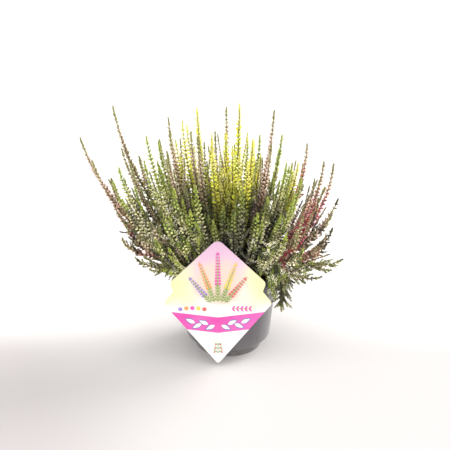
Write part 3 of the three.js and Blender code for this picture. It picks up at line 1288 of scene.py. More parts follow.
@dataclass
class StemRules:
    """How stems rise from the peat, arch and bend up to their tips, as in the solids."""

    stem_lift: float = 2.5
    foot_spread: float = 50.0
    most_foot_lean: float = 66.0
    fork_low: float = 0.14
    fork_rise: float = 0.4
    start_lean: float = 1.5
    start_gain: float = 0.4
    fork_power: int = 4
    arch_lean: float = 105.0
    hanging_from: float = 100.0
    hanging_start: float = 60.0
    tip_lean: float = 0.25
    tip_droop: float = 0.56
    rise_share: float = 0.35
    arch_share: float = -0.08
    approach_share: float = 0.35
    bow: float = 2.0
    bow_wave: float = 2.4

    def lean(self, tip: Tip) -> float:
        """Returns a tip's lean from upright as seen from the middle of the peat, in degrees."""
        return math.degrees(math.atan2(tip[1], tip[2] - SOIL_TOP))

    def spot(self, tip: Tip) -> Array:
        """Returns a tip as a point."""
        turn = math.radians(tip[0])
        return np.array([tip[1] * math.cos(turn), tip[1] * math.sin(turn), tip[2]])

    def foot(self, tip: Tip) -> Array:
        """Returns where the stem with that tip leaves the peat."""
        lean = math.radians(min(self.lean(tip), self.most_foot_lean))
        return self.spot((tip[0], self.foot_spread * math.sin(lean), SOIL_TOP + self.stem_lift))

    def path(self, foot: Array, tip: Array, bow: float, upturn: float) -> StemPath:
        """Bends the path of a spike.

        Args:
            foot: Where it starts.
            tip: Where it ends.
            bow: How far it bows sideways.
            upturn: How far more than the rest it spreads first and stands up at its tip.

        Returns:
            The path.
        """
        along = tip - foot
        flat = math.hypot(along[0], along[1])
        out = np.array([along[0] / flat, along[1] / flat, 0.0])
        lean = math.degrees(math.atan2(flat, along[2]))
        flatness = min(1.0, (lean / 90) ** 2)
        outward = self.start_lean + self.start_gain * upturn
        arching = min(outward * lean, self.arch_lean - lean)
        first = math.radians(self.hanging_start if lean > self.hanging_from else arching)
        last = math.radians(lean * (self.tip_lean * (1 - upturn) + self.tip_droop * flatness))
        length = float(np.linalg.norm(along))
        sideways = np.array([-out[1], out[0], 0.0]) * bow
        rise = self.rise_share + self.arch_share * flatness
        start = foot + sideways + (out * math.sin(first) + UP * math.cos(first)) * rise * length
        end = out * math.sin(last) + UP * math.cos(last)
        return StemPath(foot, start, tip + sideways - end * self.approach_share * length, tip)

    def pair(self, row: Row, index: int) -> list[StemPath]:
        """Bends the paths of a spray.

        Args:
            row: The spray.
            index: Its number, from 0.

        Returns:
            The paths of its main spike and of its side spike, if it has one.
        """
        bow = self.bow * math.sin(self.bow_wave * index)
        upturn = HABITS[row.kind].upturn
        main = self.path(self.foot(row.main), self.spot(row.main), bow, upturn)
        if row.side is None:
            return [main]
        leaning_over = (self.lean(row.main) / 90) ** self.fork_power
        share = self.fork_low + self.fork_rise * leaning_over
        fork = main.curve(np.array([share]))[0]
        return [main, self.path(fork, self.spot(row.side), -bow, upturn)]


@dataclass(frozen=True)
class KeepClear:
    """Room that shoots leave for the card, the pot's rim and the peat."""

    card_top: float = 170.0
    card_shoulder: float = 112.0
    card_half: float = 68.0
    card_back: float = CARD_BACK + 3.0
    rim_height: float = 109.5
    rim_inside: float = 57.0
    rim_outside: float = 69.5
    over_soil: float = 4.0
    samples: int = 14

    def allows(self, path: StemPath) -> bool:
        """Tells whether a path keeps behind the card and clear of the pot and the peat.

        Args:
            path: The path.

        Returns:
            Whether all of it is clear.
        """
        x, y, z = path.at(np.linspace(0, path.length, self.samples))[0].T
        slope = self.card_half / (self.card_top - self.card_shoulder)
        half = np.minimum(self.card_half, (self.card_top - z) * slope)
        behind = (y > self.card_back) | (np.abs(x - CARD_MIDDLE) > half)
        reach = np.hypot(x, y)
        inside = (reach < self.rim_inside) & (z > SOIL_TOP + self.over_soil)
        return bool(np.all(behind & ((z > self.rim_height) | (reach > self.rim_outside) | inside)))


@dataclass(frozen=True)
class Stalk:
    """A stem's radius at its foot, the corners of its section and the length that it ages over."""

    radius: float
    sides: int
    span: float


@dataclass(frozen=True)
class Cover:
    """Scale leaves of one sort: pairs' gap, size, spread in degrees and start from the tip."""

    gap: float
    size: float
    spread: float
    start: float


@dataclass(frozen=True)
class LeafRules:
    """How scale leaves sit on their stem, with the sway in radians and the stray in degrees."""

    sway: float = 0.25
    stray: float = 7.0
    youngest: float = 0.65
    grown_over: float = 14.0
    sizes: Span = (0.85, 1.2)
    seat: float = 0.25
    breadth: float = 0.5


@dataclass(frozen=True)
class BudRules:
    """How buds and the leaves under them sit on a spike, with leans in degrees from its stem.

    Spikes of a scale up to small have the smaller form of bud.
    """

    gap: float = 2.3
    gap_growth: float = 0.005
    sway: float = 0.17
    extra_from: float = 42.0
    extra_share: float = 0.14
    extra_shift: Span = (0.6, 1.6)
    extra_turn: Span = (0.6, 1.0)
    jitter: float = 0.2
    leans: Span = (50.0, 63.0)
    lean_growth: float = 0.15
    stray: float = 7.0
    tip_reach: float = 1.9
    more_reach: float = 2.8
    reach_over: float = 52.0
    reaches: Span = (0.84, 1.12)
    width: float = 2.5
    widths: Span = (0.88, 1.12)
    youngest: float = 0.62
    grown_over: float = 60.0
    leaf_lean: float = 16.0
    leaf_stray: float = 6.0
    leaf_sizes: Span = (0.55, 0.85)
    leaf_shares: Span = (0.3, 0.72)
    leaf_share_over: float = 130.0
    leaf_drop: float = 0.6
    leaf_breadth: float = 0.42
    small: float = 0.85

    def reach(self, from_tip: Array) -> Array:
        """Returns how far buds reach from the stem at distances from a spike's tip."""
        return self.tip_reach + self.more_reach * (1 - np.exp(-from_tip / self.reach_over))


@dataclass(frozen=True)
class ShootRules:
    """How a shoot's path bends, in shares of its length, and how often a clear one is sought."""

    tries: int = 6
    first: float = 0.25
    bend: float = 0.4
    turning: float = 0.3
    end: float = 0.32


@dataclass(frozen=True)
class Branching:
    """How shoots of one sort leave their parent.

    Leans are in degrees from it. The upturn is the share that turns back along it, upward says how
    far above it they must lie, from -1 for anywhere to 1, and their ends turn up by the rise, or
    down where it is below 0.
    """

    leans: Span
    lengths: Span
    upturn: float
    upward: float = -1.0
    rise: float = 0.35


@dataclass(frozen=True)
class SideSpikes(Branching):
    """Where side spikes stand on a spike, in shares of its length, and how they flower."""

    leans: Span = (18.0, 32.0)
    lengths: Span = (34.0, 68.0)
    upturn: float = 0.78
    upward: float = 0.1
    places: Span = (0.18, 0.56)
    stray: float = 0.05
    room: float = 0.72
    radius: float = 0.6
    sides: int = 4
    ageing: float = 0.8
    scales: Span = (0.78, 0.92)
    bare: float = 3.0


@dataclass(frozen=True)
class Tufts(Branching):
    """How closely short shoots follow one another up a spike, from its foot."""

    leans: Span = (30.0, 62.0)
    lengths: Span = (10.0, 20.0)
    upturn: float = 0.35
    first: Span = (3.0, 6.0)
    gaps: Span = (4.0, 7.0)
    highest: float = 92.0
    below_tip: float = 38.0
    least: float = 4.0
    room: float = 0.35


@dataclass(frozen=True)
class Skirt(Branching):
    """Drooping shoots where a low spray passes over the rim, their lengths as shares."""

    leans: Span = (40.0, 85.0)
    lengths: Span = (0.7, 1.3)
    upturn: float = 0.1
    below: float = 200.0
    reach: Span = (50.0, 84.0)
    samples: int = 60
    droop: float = -0.05
    droops: Span = (0.0, 1.3)


@dataclass(frozen=True)
class Trail(Branching):
    """A leafy shoot that arches over the rim and hangs, and the short shoots on it."""

    leans: Span = (35.0, 75.0)
    lengths: Span = (7.0, 12.0)
    upturn: float = 0.3
    rise: float = -0.4
    fork: float = 0.5
    arch_out: float = 9.0
    arch_up: float = 3.0
    fall: float = 28.0
    fall_out: float = 2.0
    places: Span = (0.3, 0.96)
    shoots: int = 14
    leaf_span: float = 70.0
    bare: float = 2.0


SPIKE_LEAVES = Cover(0.95, 3.1, 31.0, 0.4)
TRAIL_LEAVES = Cover(0.9, 3.4, 38.0, 0.3)
BUDDED_LEAVES = Cover(1.0, 2.6, 34.0, 0.2)
TUFT_LEAVES = Cover(1.1, 2.7, 40.0, 0.2)
TUFT_STALK = Stalk(0.42, 3, 40.0)
TRAIL_STALK = Stalk(0.5, 4, 60.0)
LEAVES = LeafRules()
BLOOM = BudRules()
BEND = ShootRules()
CLEAR = KeepClear()
SIDE_SPIKES = SideSpikes()
HIGH_TUFTS = Tufts()
LOW_TUFTS = Tufts(lengths=(7.0, 13.0), gaps=(2.6, 4.4), highest=math.inf, below_tip=14.0)
SKIRT = Skirt()
TRAIL = Trail()


@dataclass
class Spray:
    """One forked spray: thin stems, rows of buds, leafy tips, side spikes and leafy shoots."""

    row: Row
    index: int
    rules: StemRules
    stem_radius: float = 1.2
    tip_radius: float = 0.35
    stem_sides: int = 6
    stem_step: float = 7.0
    stem_taper: float = 0.8
    peg: float = 11.5
    ripening: float = 165.0
    middle_height: float = 200.0
    low_row: float = 228.0
    swollen: float = 1.16
    low_leafiness: float = 0.6
    tip_lengths: Span = (0.7, 1.25)
    tip_overlap: float = 3.0
    low_tip: float = 176.0
    spikes: tuple[int, int] = (4, 3)
    bare: Span = (24.0, 10.0)
    forked: Span = (1.0, 0.8)
    tuft_span: float = 26.0
    tuft_buds: Span = (2.6, 1.5)
    tuft_leaves: float = 4.0
    tuft_scale: float = 0.72
    tuft_ripening: float = 60.0
    tuft_age: float = 0.62
    first_seed: int = 500

    def __post_init__(self) -> None:
        """Seeds the spray's own random draws."""
        self.rng = np.random.default_rng(self.first_seed + self.index)
        self.habit = HABITS[self.row.kind]
        self.growth = Growth()
        self.height = self.row.main[2]

    def around(self, tangents: Array, turns: Array) -> Array:
        """Returns directions square to a stem at given turns round it."""
        side, front = square_to(tangents)
        return side * np.cos(turns)[:, None] + front * np.sin(turns)[:, None]

    def crossing(self, places: Array, sway: float) -> tuple[Array, Array]:
        """Sets two points at each place, each pair square to the last.

        Args:
            places: The places of the pairs.
            sway: How far the points stray round the stem, in radians.

        Returns:
            The place and the turn of each point.
        """
        turn = self.rng.uniform(0, 2 * math.pi) + np.arange(len(places)) * math.pi / 2
        turns = np.stack([turn, turn + math.pi], axis=1).ravel()
        return np.repeat(places, 2), turns + self.rng.normal(0, sway, len(turns))

    def stem(self, path: StemPath, stalk: Stalk) -> None:
        """Grows a bare stem.

        Args:
            path: The stem's path.
            stalk: Its thickness and section.
        """
        walk = np.linspace(0, path.length, max(4, int(path.length / self.stem_step)))
        middles, tangents = path.at(walk)
        left = path.length - walk
        slimming = (left / path.length) ** self.stem_taper
        radii = self.tip_radius + (stalk.radius - self.tip_radius) * slimming
        self.growth.tube(middles, tangents, radii, stalk.sides, Slot.BARK.value,
                         np.clip(left / stalk.span, 0, 1))

    def leafy(self, path: StemPath, cover: Cover, end: float, span: float,
              scale: float = 1.0) -> None:
        """Covers a stem's end with crossing pairs of scale leaves.

        Args:
            path: The stem's path.
            cover: How the leaves are set.
            end: How far from the tip they end.
            span: The spike's length over which its age runs from 0 to 1.
            scale: The size of the leaves against full ones.
        """
        rng = self.rng
        pairs = np.arange(cover.start, end, cover.gap)
        if len(pairs) == 0:
            return
        places, turns = self.crossing(pairs, LEAVES.sway)
        middles, tangents = path.at(path.length - places)
        out = self.around(tangents, turns)
        lean = np.radians(rng.normal(cover.spread, LEAVES.stray, len(places)))
        grown = np.clip(LEAVES.youngest + places / LEAVES.grown_over, LEAVES.youngest, 1.0)
        lengths = cover.size * scale * grown * rng.uniform(*LEAVES.sizes, len(places))
        self.growth.scatter(NEEDLE, Slot.NEEDLES.value, middles + out * LEAVES.seat,
                            leaning(tangents, out, lean), lengths, lengths * LEAVES.breadth,
                            np.clip(places / span, 0, 1), rng)

    def flower(self, path: StemPath, start: float, end: float, scale: float, span: float,
               aged: float = 0.0) -> None:
        """Sets buds in crossing pairs along a stretch of stem, with a leaf under each.

        Args:
            path: The stem's path.
            start: The stretch's nearer end, from the tip.
            end: The stretch's further end, from the tip.
            scale: The size of the buds against full ones.
            span: The spike's length over which its age runs from 0 to 1.
            aged: The age that the buds at the tip have already.
        """
        rng = self.rng
        pairs = []
        place = start
        while place < end:
            pairs.append(place)
            place += (BLOOM.gap + BLOOM.gap_growth * place) * scale
        if not pairs:
            return
        places, turns = self.crossing(np.array(pairs), BLOOM.sway)
        lucky = rng.uniform(0, 1, len(places)) < BLOOM.extra_share
        extra = (places > BLOOM.extra_from) & lucky
        shifts = rng.uniform(*BLOOM.extra_shift, extra.sum())
        places = np.concatenate([places, places[extra] + shifts])
        turns = np.concatenate([turns, turns[extra] + rng.uniform(*BLOOM.extra_turn, extra.sum())])
        number = len(places)
        places = np.minimum(places + rng.normal(0, BLOOM.jitter, number), path.length - 1)
        middles, tangents = path.at(path.length - places)
        out = self.around(tangents, turns)
        lean = np.clip(BLOOM.leans[0] + places * BLOOM.lean_growth, *BLOOM.leans)
        lean = np.radians(lean + rng.normal(0, BLOOM.stray, number))
        reach = (self.habit.fullness * BLOOM.reach(places) * scale
                 * rng.uniform(*BLOOM.reaches, number))
        grown = np.clip(BLOOM.youngest + (places - start) / BLOOM.grown_over, BLOOM.youngest, 1.0)
        width = (BLOOM.width * self.habit.bud_size * scale * grown
                 * rng.uniform(*BLOOM.widths, number))
        age = np.clip(aged + places / span, 0, 1)
        self.growth.scatter(BUD if scale > BLOOM.small else BUDLET, Slot.BUDS.value,
                            middles, leaning(tangents, out, lean), reach / np.sin(lean), width,
                            age, rng)
        leaf_lean = lean + np.radians(rng.normal(BLOOM.leaf_lean, BLOOM.leaf_stray, number))
        leaf = reach * rng.uniform(*BLOOM.leaf_sizes, number)
        share = np.clip(BLOOM.leaf_shares[0] + places / BLOOM.leaf_share_over, *BLOOM.leaf_shares)
        kept = rng.uniform(0, 1, number) < share * self.habit.leafiness
        self.growth.scatter(NEEDLE, Slot.NEEDLES.value,
                            (middles - tangents * BLOOM.leaf_drop)[kept],
                            leaning(tangents, out, leaf_lean)[kept], leaf[kept],
                            leaf[kept] * BLOOM.leaf_breadth, age[kept], rng)

    def shoot(self, parent: StemPath, where: float, lean: float, length: float,
              branching: Branching, rise: float | None = None) -> StemPath | None:
        """Finds a side path that leaves a parent and keeps clear, or none after a few tries.

        Args:
            parent: The parent's path.
            where: The distance from the parent's foot.
            lean: The first angle to the parent, in degrees.
            length: The shoot's length.
            branching: How shoots of its sort leave their parent.
            rise: How strongly its end turns up, where it isn't as its sort has it.

        Returns:
            The shoot's path, if one was found.
        """
        root, tangent = parent.at(np.array([where]))
        upturn = branching.upturn
        rise = branching.rise if rise is None else rise
        low = math.asin(branching.upward)
        angle = math.radians(lean)
        for _ in range(BEND.tries):
            out = self.around(tangent, self.rng.uniform(low, math.pi - low, 1))[0]
            aim = tangent[0] * math.cos(angle) + out * math.sin(angle)
            ahead = tangent[0] * upturn + UP * rise + aim * (1 - upturn)
            ahead = ahead / np.linalg.norm(ahead)
            bend = root[0] + aim * length * BEND.bend
            end = bend + (aim + ahead) * 0.5 * length * BEND.turning + ahead * length * BEND.end
            path = StemPath(root[0], root[0] + aim * length * BEND.first, bend, end)
            if CLEAR.allows(path):
                return path
        return None

    def spike(self, path: StemPath, stalk: Stalk, scale: float, bare: float) -> None:
        """Grows one flowering spike: stem, leafy tip, buds and the leaves among them.

        Args:
            path: The spike's path.
            stalk: The thickness and section of its stem.
            scale: The size of buds and leaves against full ones.
            bare: The length above the foot that carries no buds.
        """
        leafy = self.habit.leafy_tip * (self.low_leafiness if self.height < self.low_row else 1.0)
        tip = leafy * scale * self.rng.uniform(*self.tip_lengths)
        self.stem(path, stalk)
        self.leafy(path, SPIKE_LEAVES, min(tip + self.tip_overlap, path.length - 2), stalk.span,
                   scale)
        self.flower(path, tip, path.length - bare, scale, stalk.span)

    def side_spikes(self, path: StemPath, number: int, span: float) -> None:
        """Grows side spikes from a spike's middle.

        Args:
            path: The spike's path.
            number: How many there are.
            span: The length over which the spike's age runs from 0 to 1.
        """
        rng, sort = self.rng, SIDE_SPIKES
        stalk = Stalk(sort.radius, sort.sides, span * sort.ageing)
        for place in np.linspace(*sort.places, number):
            where = path.length * (place + rng.uniform(-sort.stray, sort.stray))
            length = min(rng.uniform(*sort.lengths), (path.length - where) * sort.room)
            side = self.shoot(path, where, rng.uniform(*sort.leans), length, sort)
            if side:
                self.spike(side, stalk, rng.uniform(*sort.scales), sort.bare)

    def tufts(self, path: StemPath) -> None:
        """Grows short shoots up a spike, closer ones where its tip hangs low.

        Args:
            path: The spike's path.
        """
        rng = self.rng
        low = path.at(np.array([path.length]))[0][0, 2] < self.low_tip
        sort = LOW_TUFTS if low else HIGH_TUFTS
        where = rng.uniform(*sort.first)
        while where < min(sort.highest, path.length - sort.below_tip):
            room = sort.least + sort.room * (path.length - where)
            length = min(rng.uniform(*sort.lengths), room)
            self.tuft(self.shoot(path, where, rng.uniform(*sort.leans), length, sort))
            where += rng.uniform(*sort.gaps)

    def skirt(self, path: StemPath) -> None:
        """Grows drooping shoots where a spray that leans outwards passes over the rim.

        Args:
            path: The path of one of the spray's spikes.
        """
        rng = self.rng
        walk = np.linspace(0, path.length, SKIRT.samples)
        reach = np.hypot(*path.at(walk)[0][:, :2].T)
        over = walk[(reach > SKIRT.reach[0]) & (reach < SKIRT.reach[1])]
        for where in rng.uniform(over[0], over[-1], self.row.skirt):
            length = self.row.hanging * rng.uniform(*SKIRT.lengths)
            lean = rng.uniform(*SKIRT.leans)
            droop = SKIRT.droop * length * rng.uniform(*SKIRT.droops)
            self.tuft(self.shoot(path, where, lean, length, SKIRT, droop))

    def trail(self, parent: StemPath, tip: Tip) -> None:
        """Grows a leafy shoot that arches over the rim and hangs down outside the pot.

        Args:
            parent: The path that it leaves.
            tip: Where it ends.
        """
        rng = self.rng
        root = parent.at(np.array([parent.length * TRAIL.fork]))[0][0]
        end = self.rules.spot(tip)
        out = end * np.array([1.0, 1.0, 0.0]) / tip[1]
        path = StemPath(root, root + out * TRAIL.arch_out + UP * TRAIL.arch_up,
                        end + UP * TRAIL.fall + out * TRAIL.fall_out, end)
        self.stem(path, TRAIL_STALK)
        self.leafy(path, TRAIL_LEAVES, path.length - TRAIL.bare, TRAIL.leaf_span)
        first, last = (path.length * share for share in TRAIL.places)
        for where in rng.uniform(first, last, TRAIL.shoots):
            lean = rng.uniform(*TRAIL.leans)
            self.tuft(self.shoot(path, where, lean, rng.uniform(*TRAIL.lengths), TRAIL))

    def tuft(self, path: StemPath | None) -> None:
        """Grows a short side shoot, in bud or leafy as its kind has it.

        Args:
            path: The shoot's path, or none where it found no room.
        """
        if path is None:
            return
        self.stem(path, TUFT_STALK)
        if self.rng.uniform(0, 1) < self.habit.blooming_shoots:
            tip, foot = self.tuft_buds
            self.leafy(path, BUDDED_LEAVES, self.tuft_leaves, self.tuft_span)
            self.flower(path, tip, path.length - foot, self.tuft_scale, self.tuft_ripening,
                        self.tuft_age)
        else:
            self.leafy(path, TUFT_LEAVES, path.length, self.tuft_span)

    def build(self, materials: list[bpy.types.Material]) -> None:
        """Builds and dresses the spray.

        Args:
            materials: Bark, needles and buds, in the order of the slots.
        """
        paths = self.rules.pair(self.row, self.index)
        root, _ = paths[0].at(np.zeros(1))
        self.growth.tube(np.stack([root[0] - UP * self.peg, root[0]]), np.stack([UP, UP]),
                         np.full(2, self.stem_radius), self.stem_sides, Slot.BARK.value,
                         np.ones(2))
        span = self.ripening + self.habit.late * (self.height - self.middle_height)
        scale = self.swollen if self.height < self.low_row else 1.0
        outward = self.height < SKIRT.below and self.row.main[1] > SKIRT.reach[1]
        for path, number, bare, share in zip(paths, self.spikes, self.bare, self.forked):
            stalk = Stalk(self.stem_radius * share, self.stem_sides, span)
            self.spike(path, stalk, scale, bare)
            self.side_spikes(path, number, span)
            self.tufts(path)
            if outward:
                self.skirt(path)
        for tip in self.row.trails:
            self.trail(paths[0], tip)
        number = f"{self.index + 1:02d}"
        name = self.row.kind.value
        piece = self.growth.mesh(f"{name}_heather_{number}", materials)
        settle(piece, f"{name}_heather", f"{name}_spray_{number}")


@dataclass
class Heather:
    """All the sprays, grown row by row."""

    rows: list[Row] = field(default_factory=lambda: ROWS)
    rules: StemRules = field(default_factory=StemRules)

    def build(self) -> None:
        """Builds every spray with its kind's finishes."""
        bark = BarkFinish().material()
        sets = {kind: [bark, habit.needles.material(), habit.buds.material()]
                for kind, habit in HABITS.items()}
        for index, row in enumerate(self.rows):
            Spray(row, index, self.rules).build(sets[row.kind])


class Ink(Enum):
    """Inks of the card's print, each with a fresh and a worn shade."""

    VIOLET = ("9884c6", "8e79bd")
    ROSE = ("de57ac", "d74ca1")
    ORANGE = ("e19d5a", "dc924d")
    GOLD = ("e0c756", "dabf49")
    CREAM = ("ece9e0", "e8e4d7")
    RED = ("cc6662", "c25b56")
    GREEN = ("91a565", "879b5a")
    SAGE = ("a6b299", "9ca88e")
    INDIGO = ("736bae", "6962a5")


BLOOM_INKS = (Ink.VIOLET, Ink.ORANGE, Ink.ROSE, Ink.GOLD, Ink.RED)


@dataclass
class Print:
    """The card's print, measured from the card's middle line and the floor.

    It has five fanned sprigs, a row of dots, a rose twig, a garland along the chevron and a small
    twig with berries. Angles are in degrees from upright. Spots that overlap lie at different
    depths.
    """

    front: float
    ink: float = 0.05
    dot_sides: int = 20
    leaf_steps: int = 9
    leaf_belly: float = 0.8
    sprig_lift: float = 0.5
    sprig_lengths: tuple[float, ...] = (44.0, 56.0, 66.0, 56.0, 44.0)
    sprig_fan: float = 19.0
    sprig_pitch: float = 3.0
    sprig_root: float = 84.0
    sprig_stem: float = 1.2
    sprig_gap: float = 3.7
    sprig_first: float = 5.0
    sprig_leafy: float = 0.36
    sprig_leaf: Span = (5.4, 1.8)
    sprig_tip: Span = (5.0, 1.8)
    leaf_lean: float = 42.0
    bead: float = 2.0
    bead_off: float = 2.9
    slimming: float = 0.55
    dots_left: float = -45.0
    dots_height: float = 79.6
    dots_pitch: float = 7.2
    dots_sag: float = 0.4
    dot: float = 2.7
    rose_place: Span = (14.0, 78.8)
    rose_stem: Span = (31.0, 1.1)
    rose_first: float = 3.0
    rose_pitch: float = 5.0
    rose_lean: float = 46.0
    rose_leaf: Span = (5.4, 2.4)
    garland_leaves: int = 8
    garland_pitch: float = 8.0
    garland_height: float = 56.2
    garland_leans: Span = (116.0, 62.0)
    garland_leaf: Span = (13.5, 7.4)
    garland_pale: Span = (11.8, 4.8)
    twig_foot: float = 16.0
    twig_stem: Span = (24.0, 1.3)
    twig_first: float = 3.0
    twig_pitch: float = 5.2
    twig_lean: float = 52.0
    twig_leaf: Span = (8.4, 2.8)
    twig_shrink: float = 1.2
    berry: float = 1.15

    def __post_init__(self) -> None:
        """Starts with a bare card."""
        self.growth = Growth()

    def build(self) -> None:
        """Prints everything and makes the piece."""
        for i, (length, ink) in enumerate(zip(self.sprig_lengths, BLOOM_INKS)):
            self.sprig(i, length, ink)
        self.dots()
        self.rose_twig()
        self.garland()
        self.berry_twig()
        inks = [InkFinish(f"ink_{ink.name.lower()}", *ink.value).material() for ink in Ink]
        piece = self.growth.mesh("card_print", inks)
        piece.data.shade_flat()
        settle(piece, "card_plastic")

    def patch(self, outline: Array, ink: Ink, lift: float) -> None:
        """Lays one convex spot of ink on the card's front.

        Args:
            outline: The spot's outline, anticlockwise as seen from the front.
            ink: The ink.
            lift: How far it lies before the others.
        """
        number = len(outline)
        depth = np.full(number, self.front - lift)
        ring = np.column_stack([CARD_MIDDLE + outline[:, 0], depth, outline[:, 1]])
        points = np.concatenate([ring, ring + np.array([0.0, self.ink, 0.0])])
        k = np.arange(1, number - 1)
        zero = np.zeros(number - 2, int)
        faces = [np.stack([zero, k, k + 1], axis=1),
                 np.stack([zero + number, k + 1 + number, k + number], axis=1)]
        k = np.arange(number)
        after = (k + 1) % number
        faces.append(np.stack([after, k, k + number], axis=1))
        faces.append(np.stack([after, k + number, after + number], axis=1))
        bare = np.zeros(1)
        self.growth.add(points, np.concatenate(faces), list(Ink).index(ink), bare, bare, bare)

    def disc(self, x: float, z: float, radius: float, ink: Ink, lift: float) -> None:
        """Prints a round dot.

        Args:
            x: Its middle's place across the card.
            z: Its middle's height.
            radius: Its radius.
            ink: The ink.
            lift: How far it lies before the others.
        """
        turns = np.arange(self.dot_sides) * 2 * math.pi / self.dot_sides
        self.patch(np.column_stack([x + radius * np.cos(turns), z + radius * np.sin(turns)]), ink,
                   lift)

    def leaf(self, x: float, z: float, degrees: float, size: Span, ink: Ink, lift: float) -> None:
        """Prints a pointed leaf.

        Args:
            x: Its root's place across the card.
            z: Its root's height.
            degrees: Its angle from upright.
            size: Its length and width.
            ink: The ink.
            lift: How far it lies before the others.
        """
        length, width = size
        t = np.linspace(0, 1, self.leaf_steps)
        half = width / 2 * np.sin(math.pi * t ** self.leaf_belly)
        right = np.column_stack([half, t * length])
        left = np.column_stack([-half[-2:0:-1], t[-2:0:-1] * length])
        outline = np.concatenate([right, left])
        turn = math.radians(degrees)
        c, s = math.cos(turn), math.sin(turn)
        spun = np.column_stack([x + outline[:, 0] * c + outline[:, 1] * s,
                                z - outline[:, 0] * s + outline[:, 1] * c])
        self.patch(spun, ink, lift)

    def sprig(self, i: int, length: float, ink: Ink) -> None:
        """Prints one fanned sprig with small leaves and beads.

        Args:
            i: Its place in the fan, from 0 at the left.
            length: Its length.
            ink: The ink of its beads.
        """
        off = i - len(BLOOM_INKS) // 2
        fan = off * self.sprig_fan
        turn = math.radians(fan)
        along = np.array([math.sin(turn), math.cos(turn)])
        across = np.array([along[1], -along[0]])
        root = np.array([off * self.sprig_pitch, self.sprig_root])
        self.leaf(*root, fan, (length, self.sprig_stem), Ink.GREEN, self.sprig_lift)
        place = self.sprig_first
        while place < length:
            spot = root + along * place
            shrink = 1 - self.slimming * place / length
            lift = self.sprig_lift + 0.01 + 0.0008 * place + 0.06 * i
            for side in (-1, 1):
                before = lift + 0.003 * side
                if place < length * self.sprig_leafy:
                    self.leaf(*spot, fan + side * self.leaf_lean, self.sprig_leaf, Ink.GREEN,
                              before)
                else:
                    bead = spot + across * side * self.bead_off * shrink
                    self.disc(*bead, self.bead * shrink, ink, before)
            place += self.sprig_gap
        tip = root + along * (length - 3)
        self.leaf(*tip, fan, self.sprig_tip, ink, self.sprig_lift + 0.4)

    def dots(self) -> None:
        """Prints a sagging row of dots."""
        for i, ink in enumerate(BLOOM_INKS):
            off = i - len(BLOOM_INKS) // 2
            self.disc(i * self.dots_pitch + self.dots_left,
                      self.dots_height - self.dots_sag * off * off, self.dot, ink, 0.0)

    def rose_twig(self) -> None:
        """Prints a level twig with rose leaves at the right."""
        x, z = self.rose_place
        self.leaf(x, z, 90.0, self.rose_stem, Ink.GREEN, 0.0)
        for k in range(5):
            for side in (-1, 1):
                self.leaf(x + self.rose_first + self.rose_pitch * k, z,
                          90.0 + side * self.rose_lean, self.rose_leaf, Ink.ROSE,
                          0.02 * (2 * k + side + 2))

    def garland(self) -> None:
        """Prints leaves with pale middles along the chevron."""
        for k in range(self.garland_leaves):
            x = (k - (self.garland_leaves - 1) / 2) * self.garland_pitch
            z = self.garland_height + CardFinish.band_rise * abs(x)
            lean = self.garland_leans[k % 2] - (0.0 if x >= 0 else 180.0)
            self.leaf(x, z, lean, self.garland_leaf, Ink.INDIGO, 0.008 * k)
            self.leaf(x, z, lean, self.garland_pale, Ink.CREAM, 0.08 + 0.008 * k)

    def berry_twig(self) -> None:
        """Prints a small leafy twig with berries in the card's foot."""
        length, width = self.twig_leaf
        self.leaf(0.0, self.twig_foot, 0.0, self.twig_stem, Ink.SAGE, 0.0)
        for k in range(3):
            z = self.twig_foot + self.twig_first + self.twig_pitch * k
            for side in (-1, 1):
                self.leaf(0.0, z, side * self.twig_lean, (length - self.twig_shrink * k, width),
                          Ink.SAGE, 0.02 + 0.01 * k)
                self.disc(side * (4.6 - 0.8 * k), z + 0.8, self.berry, Ink.RED, 0.08)


@dataclass
class Card:
    """Die-cut card with a hooked tongue, and the print on its front."""

    top: float = 167.0
    bottom: float = 3.4
    shoulder: Span = (57.0, 112.0)
    notch: Span = (53.0, 100.8)
    side: Span = (65.0, 85.8)
    top_round: float = 9.0
    side_round: float = 4.5
    notch_round: float = 2.5
    rim: float = 105.3
    tongue_half: float = 6.0
    tongue_back: float = -55.0
    tongue_foot: float = 84.0
    ink_lift: float = 0.03

    def outline(self) -> list[Span]:
        """Eases the card's outline.

        Returns:
            Its points, by distance from its middle line and height.
        """
        right = [(*self.side, self.side_round), (*self.notch, self.notch_round),
                 (*self.shoulder, self.side_round)]
        left = [(-x, z, ease) for x, z, ease in reversed(right)]
        return rounded([(0.0, self.bottom, self.side_round), *right,
                        (0.0, self.top, self.top_round), *left], 8)

    def sheet(self, material: bpy.types.Material) -> bpy.types.Object:
        """Makes the flat sheet.

        Args:
            material: Its material.

        Returns:
            The sheet.
        """
        near, far = (np.array([(CARD_MIDDLE + x, y, z) for x, z in self.outline()])
                     for y in (CARD_BACK - CARD_THICKNESS, CARD_BACK))
        return prism("hooked_card", near, far, material)

    def tongue(self, material: bpy.types.Material) -> bpy.types.Object:
        """Makes the tongue that passes over the rim and down into the peat.

        Args:
            material: Its material.

        Returns:
            The tongue.
        """
        root = CARD_BACK - CARD_THICKNESS / 2
        over = self.rim + CARD_THICKNESS
        front = self.tongue_back - CARD_THICKNESS
        line = rounded([
            (root, self.rim, 0.0), (front, self.rim, 0.3), (front, self.tongue_foot, 0.0),
            (self.tongue_back, self.tongue_foot, 0.0), (self.tongue_back, over, 1.0),
            (root, over, 0.0),
        ], 4)
        near, far = (np.array([(CARD_MIDDLE + x, y, z) for y, z in line])
                     for x in (self.tongue_half, -self.tongue_half))
        return prism("card_tongue", near, far, material)

    def build(self) -> None:
        """Builds the card, its tongue and its print."""
        material = CardFinish().material()
        card = self.sheet(material)
        combine(card, self.tongue(material), "UNION")
        settle(card, "card_plastic", "label_card")
        Print(CARD_BACK - CARD_THICKNESS - self.ink_lift).build()


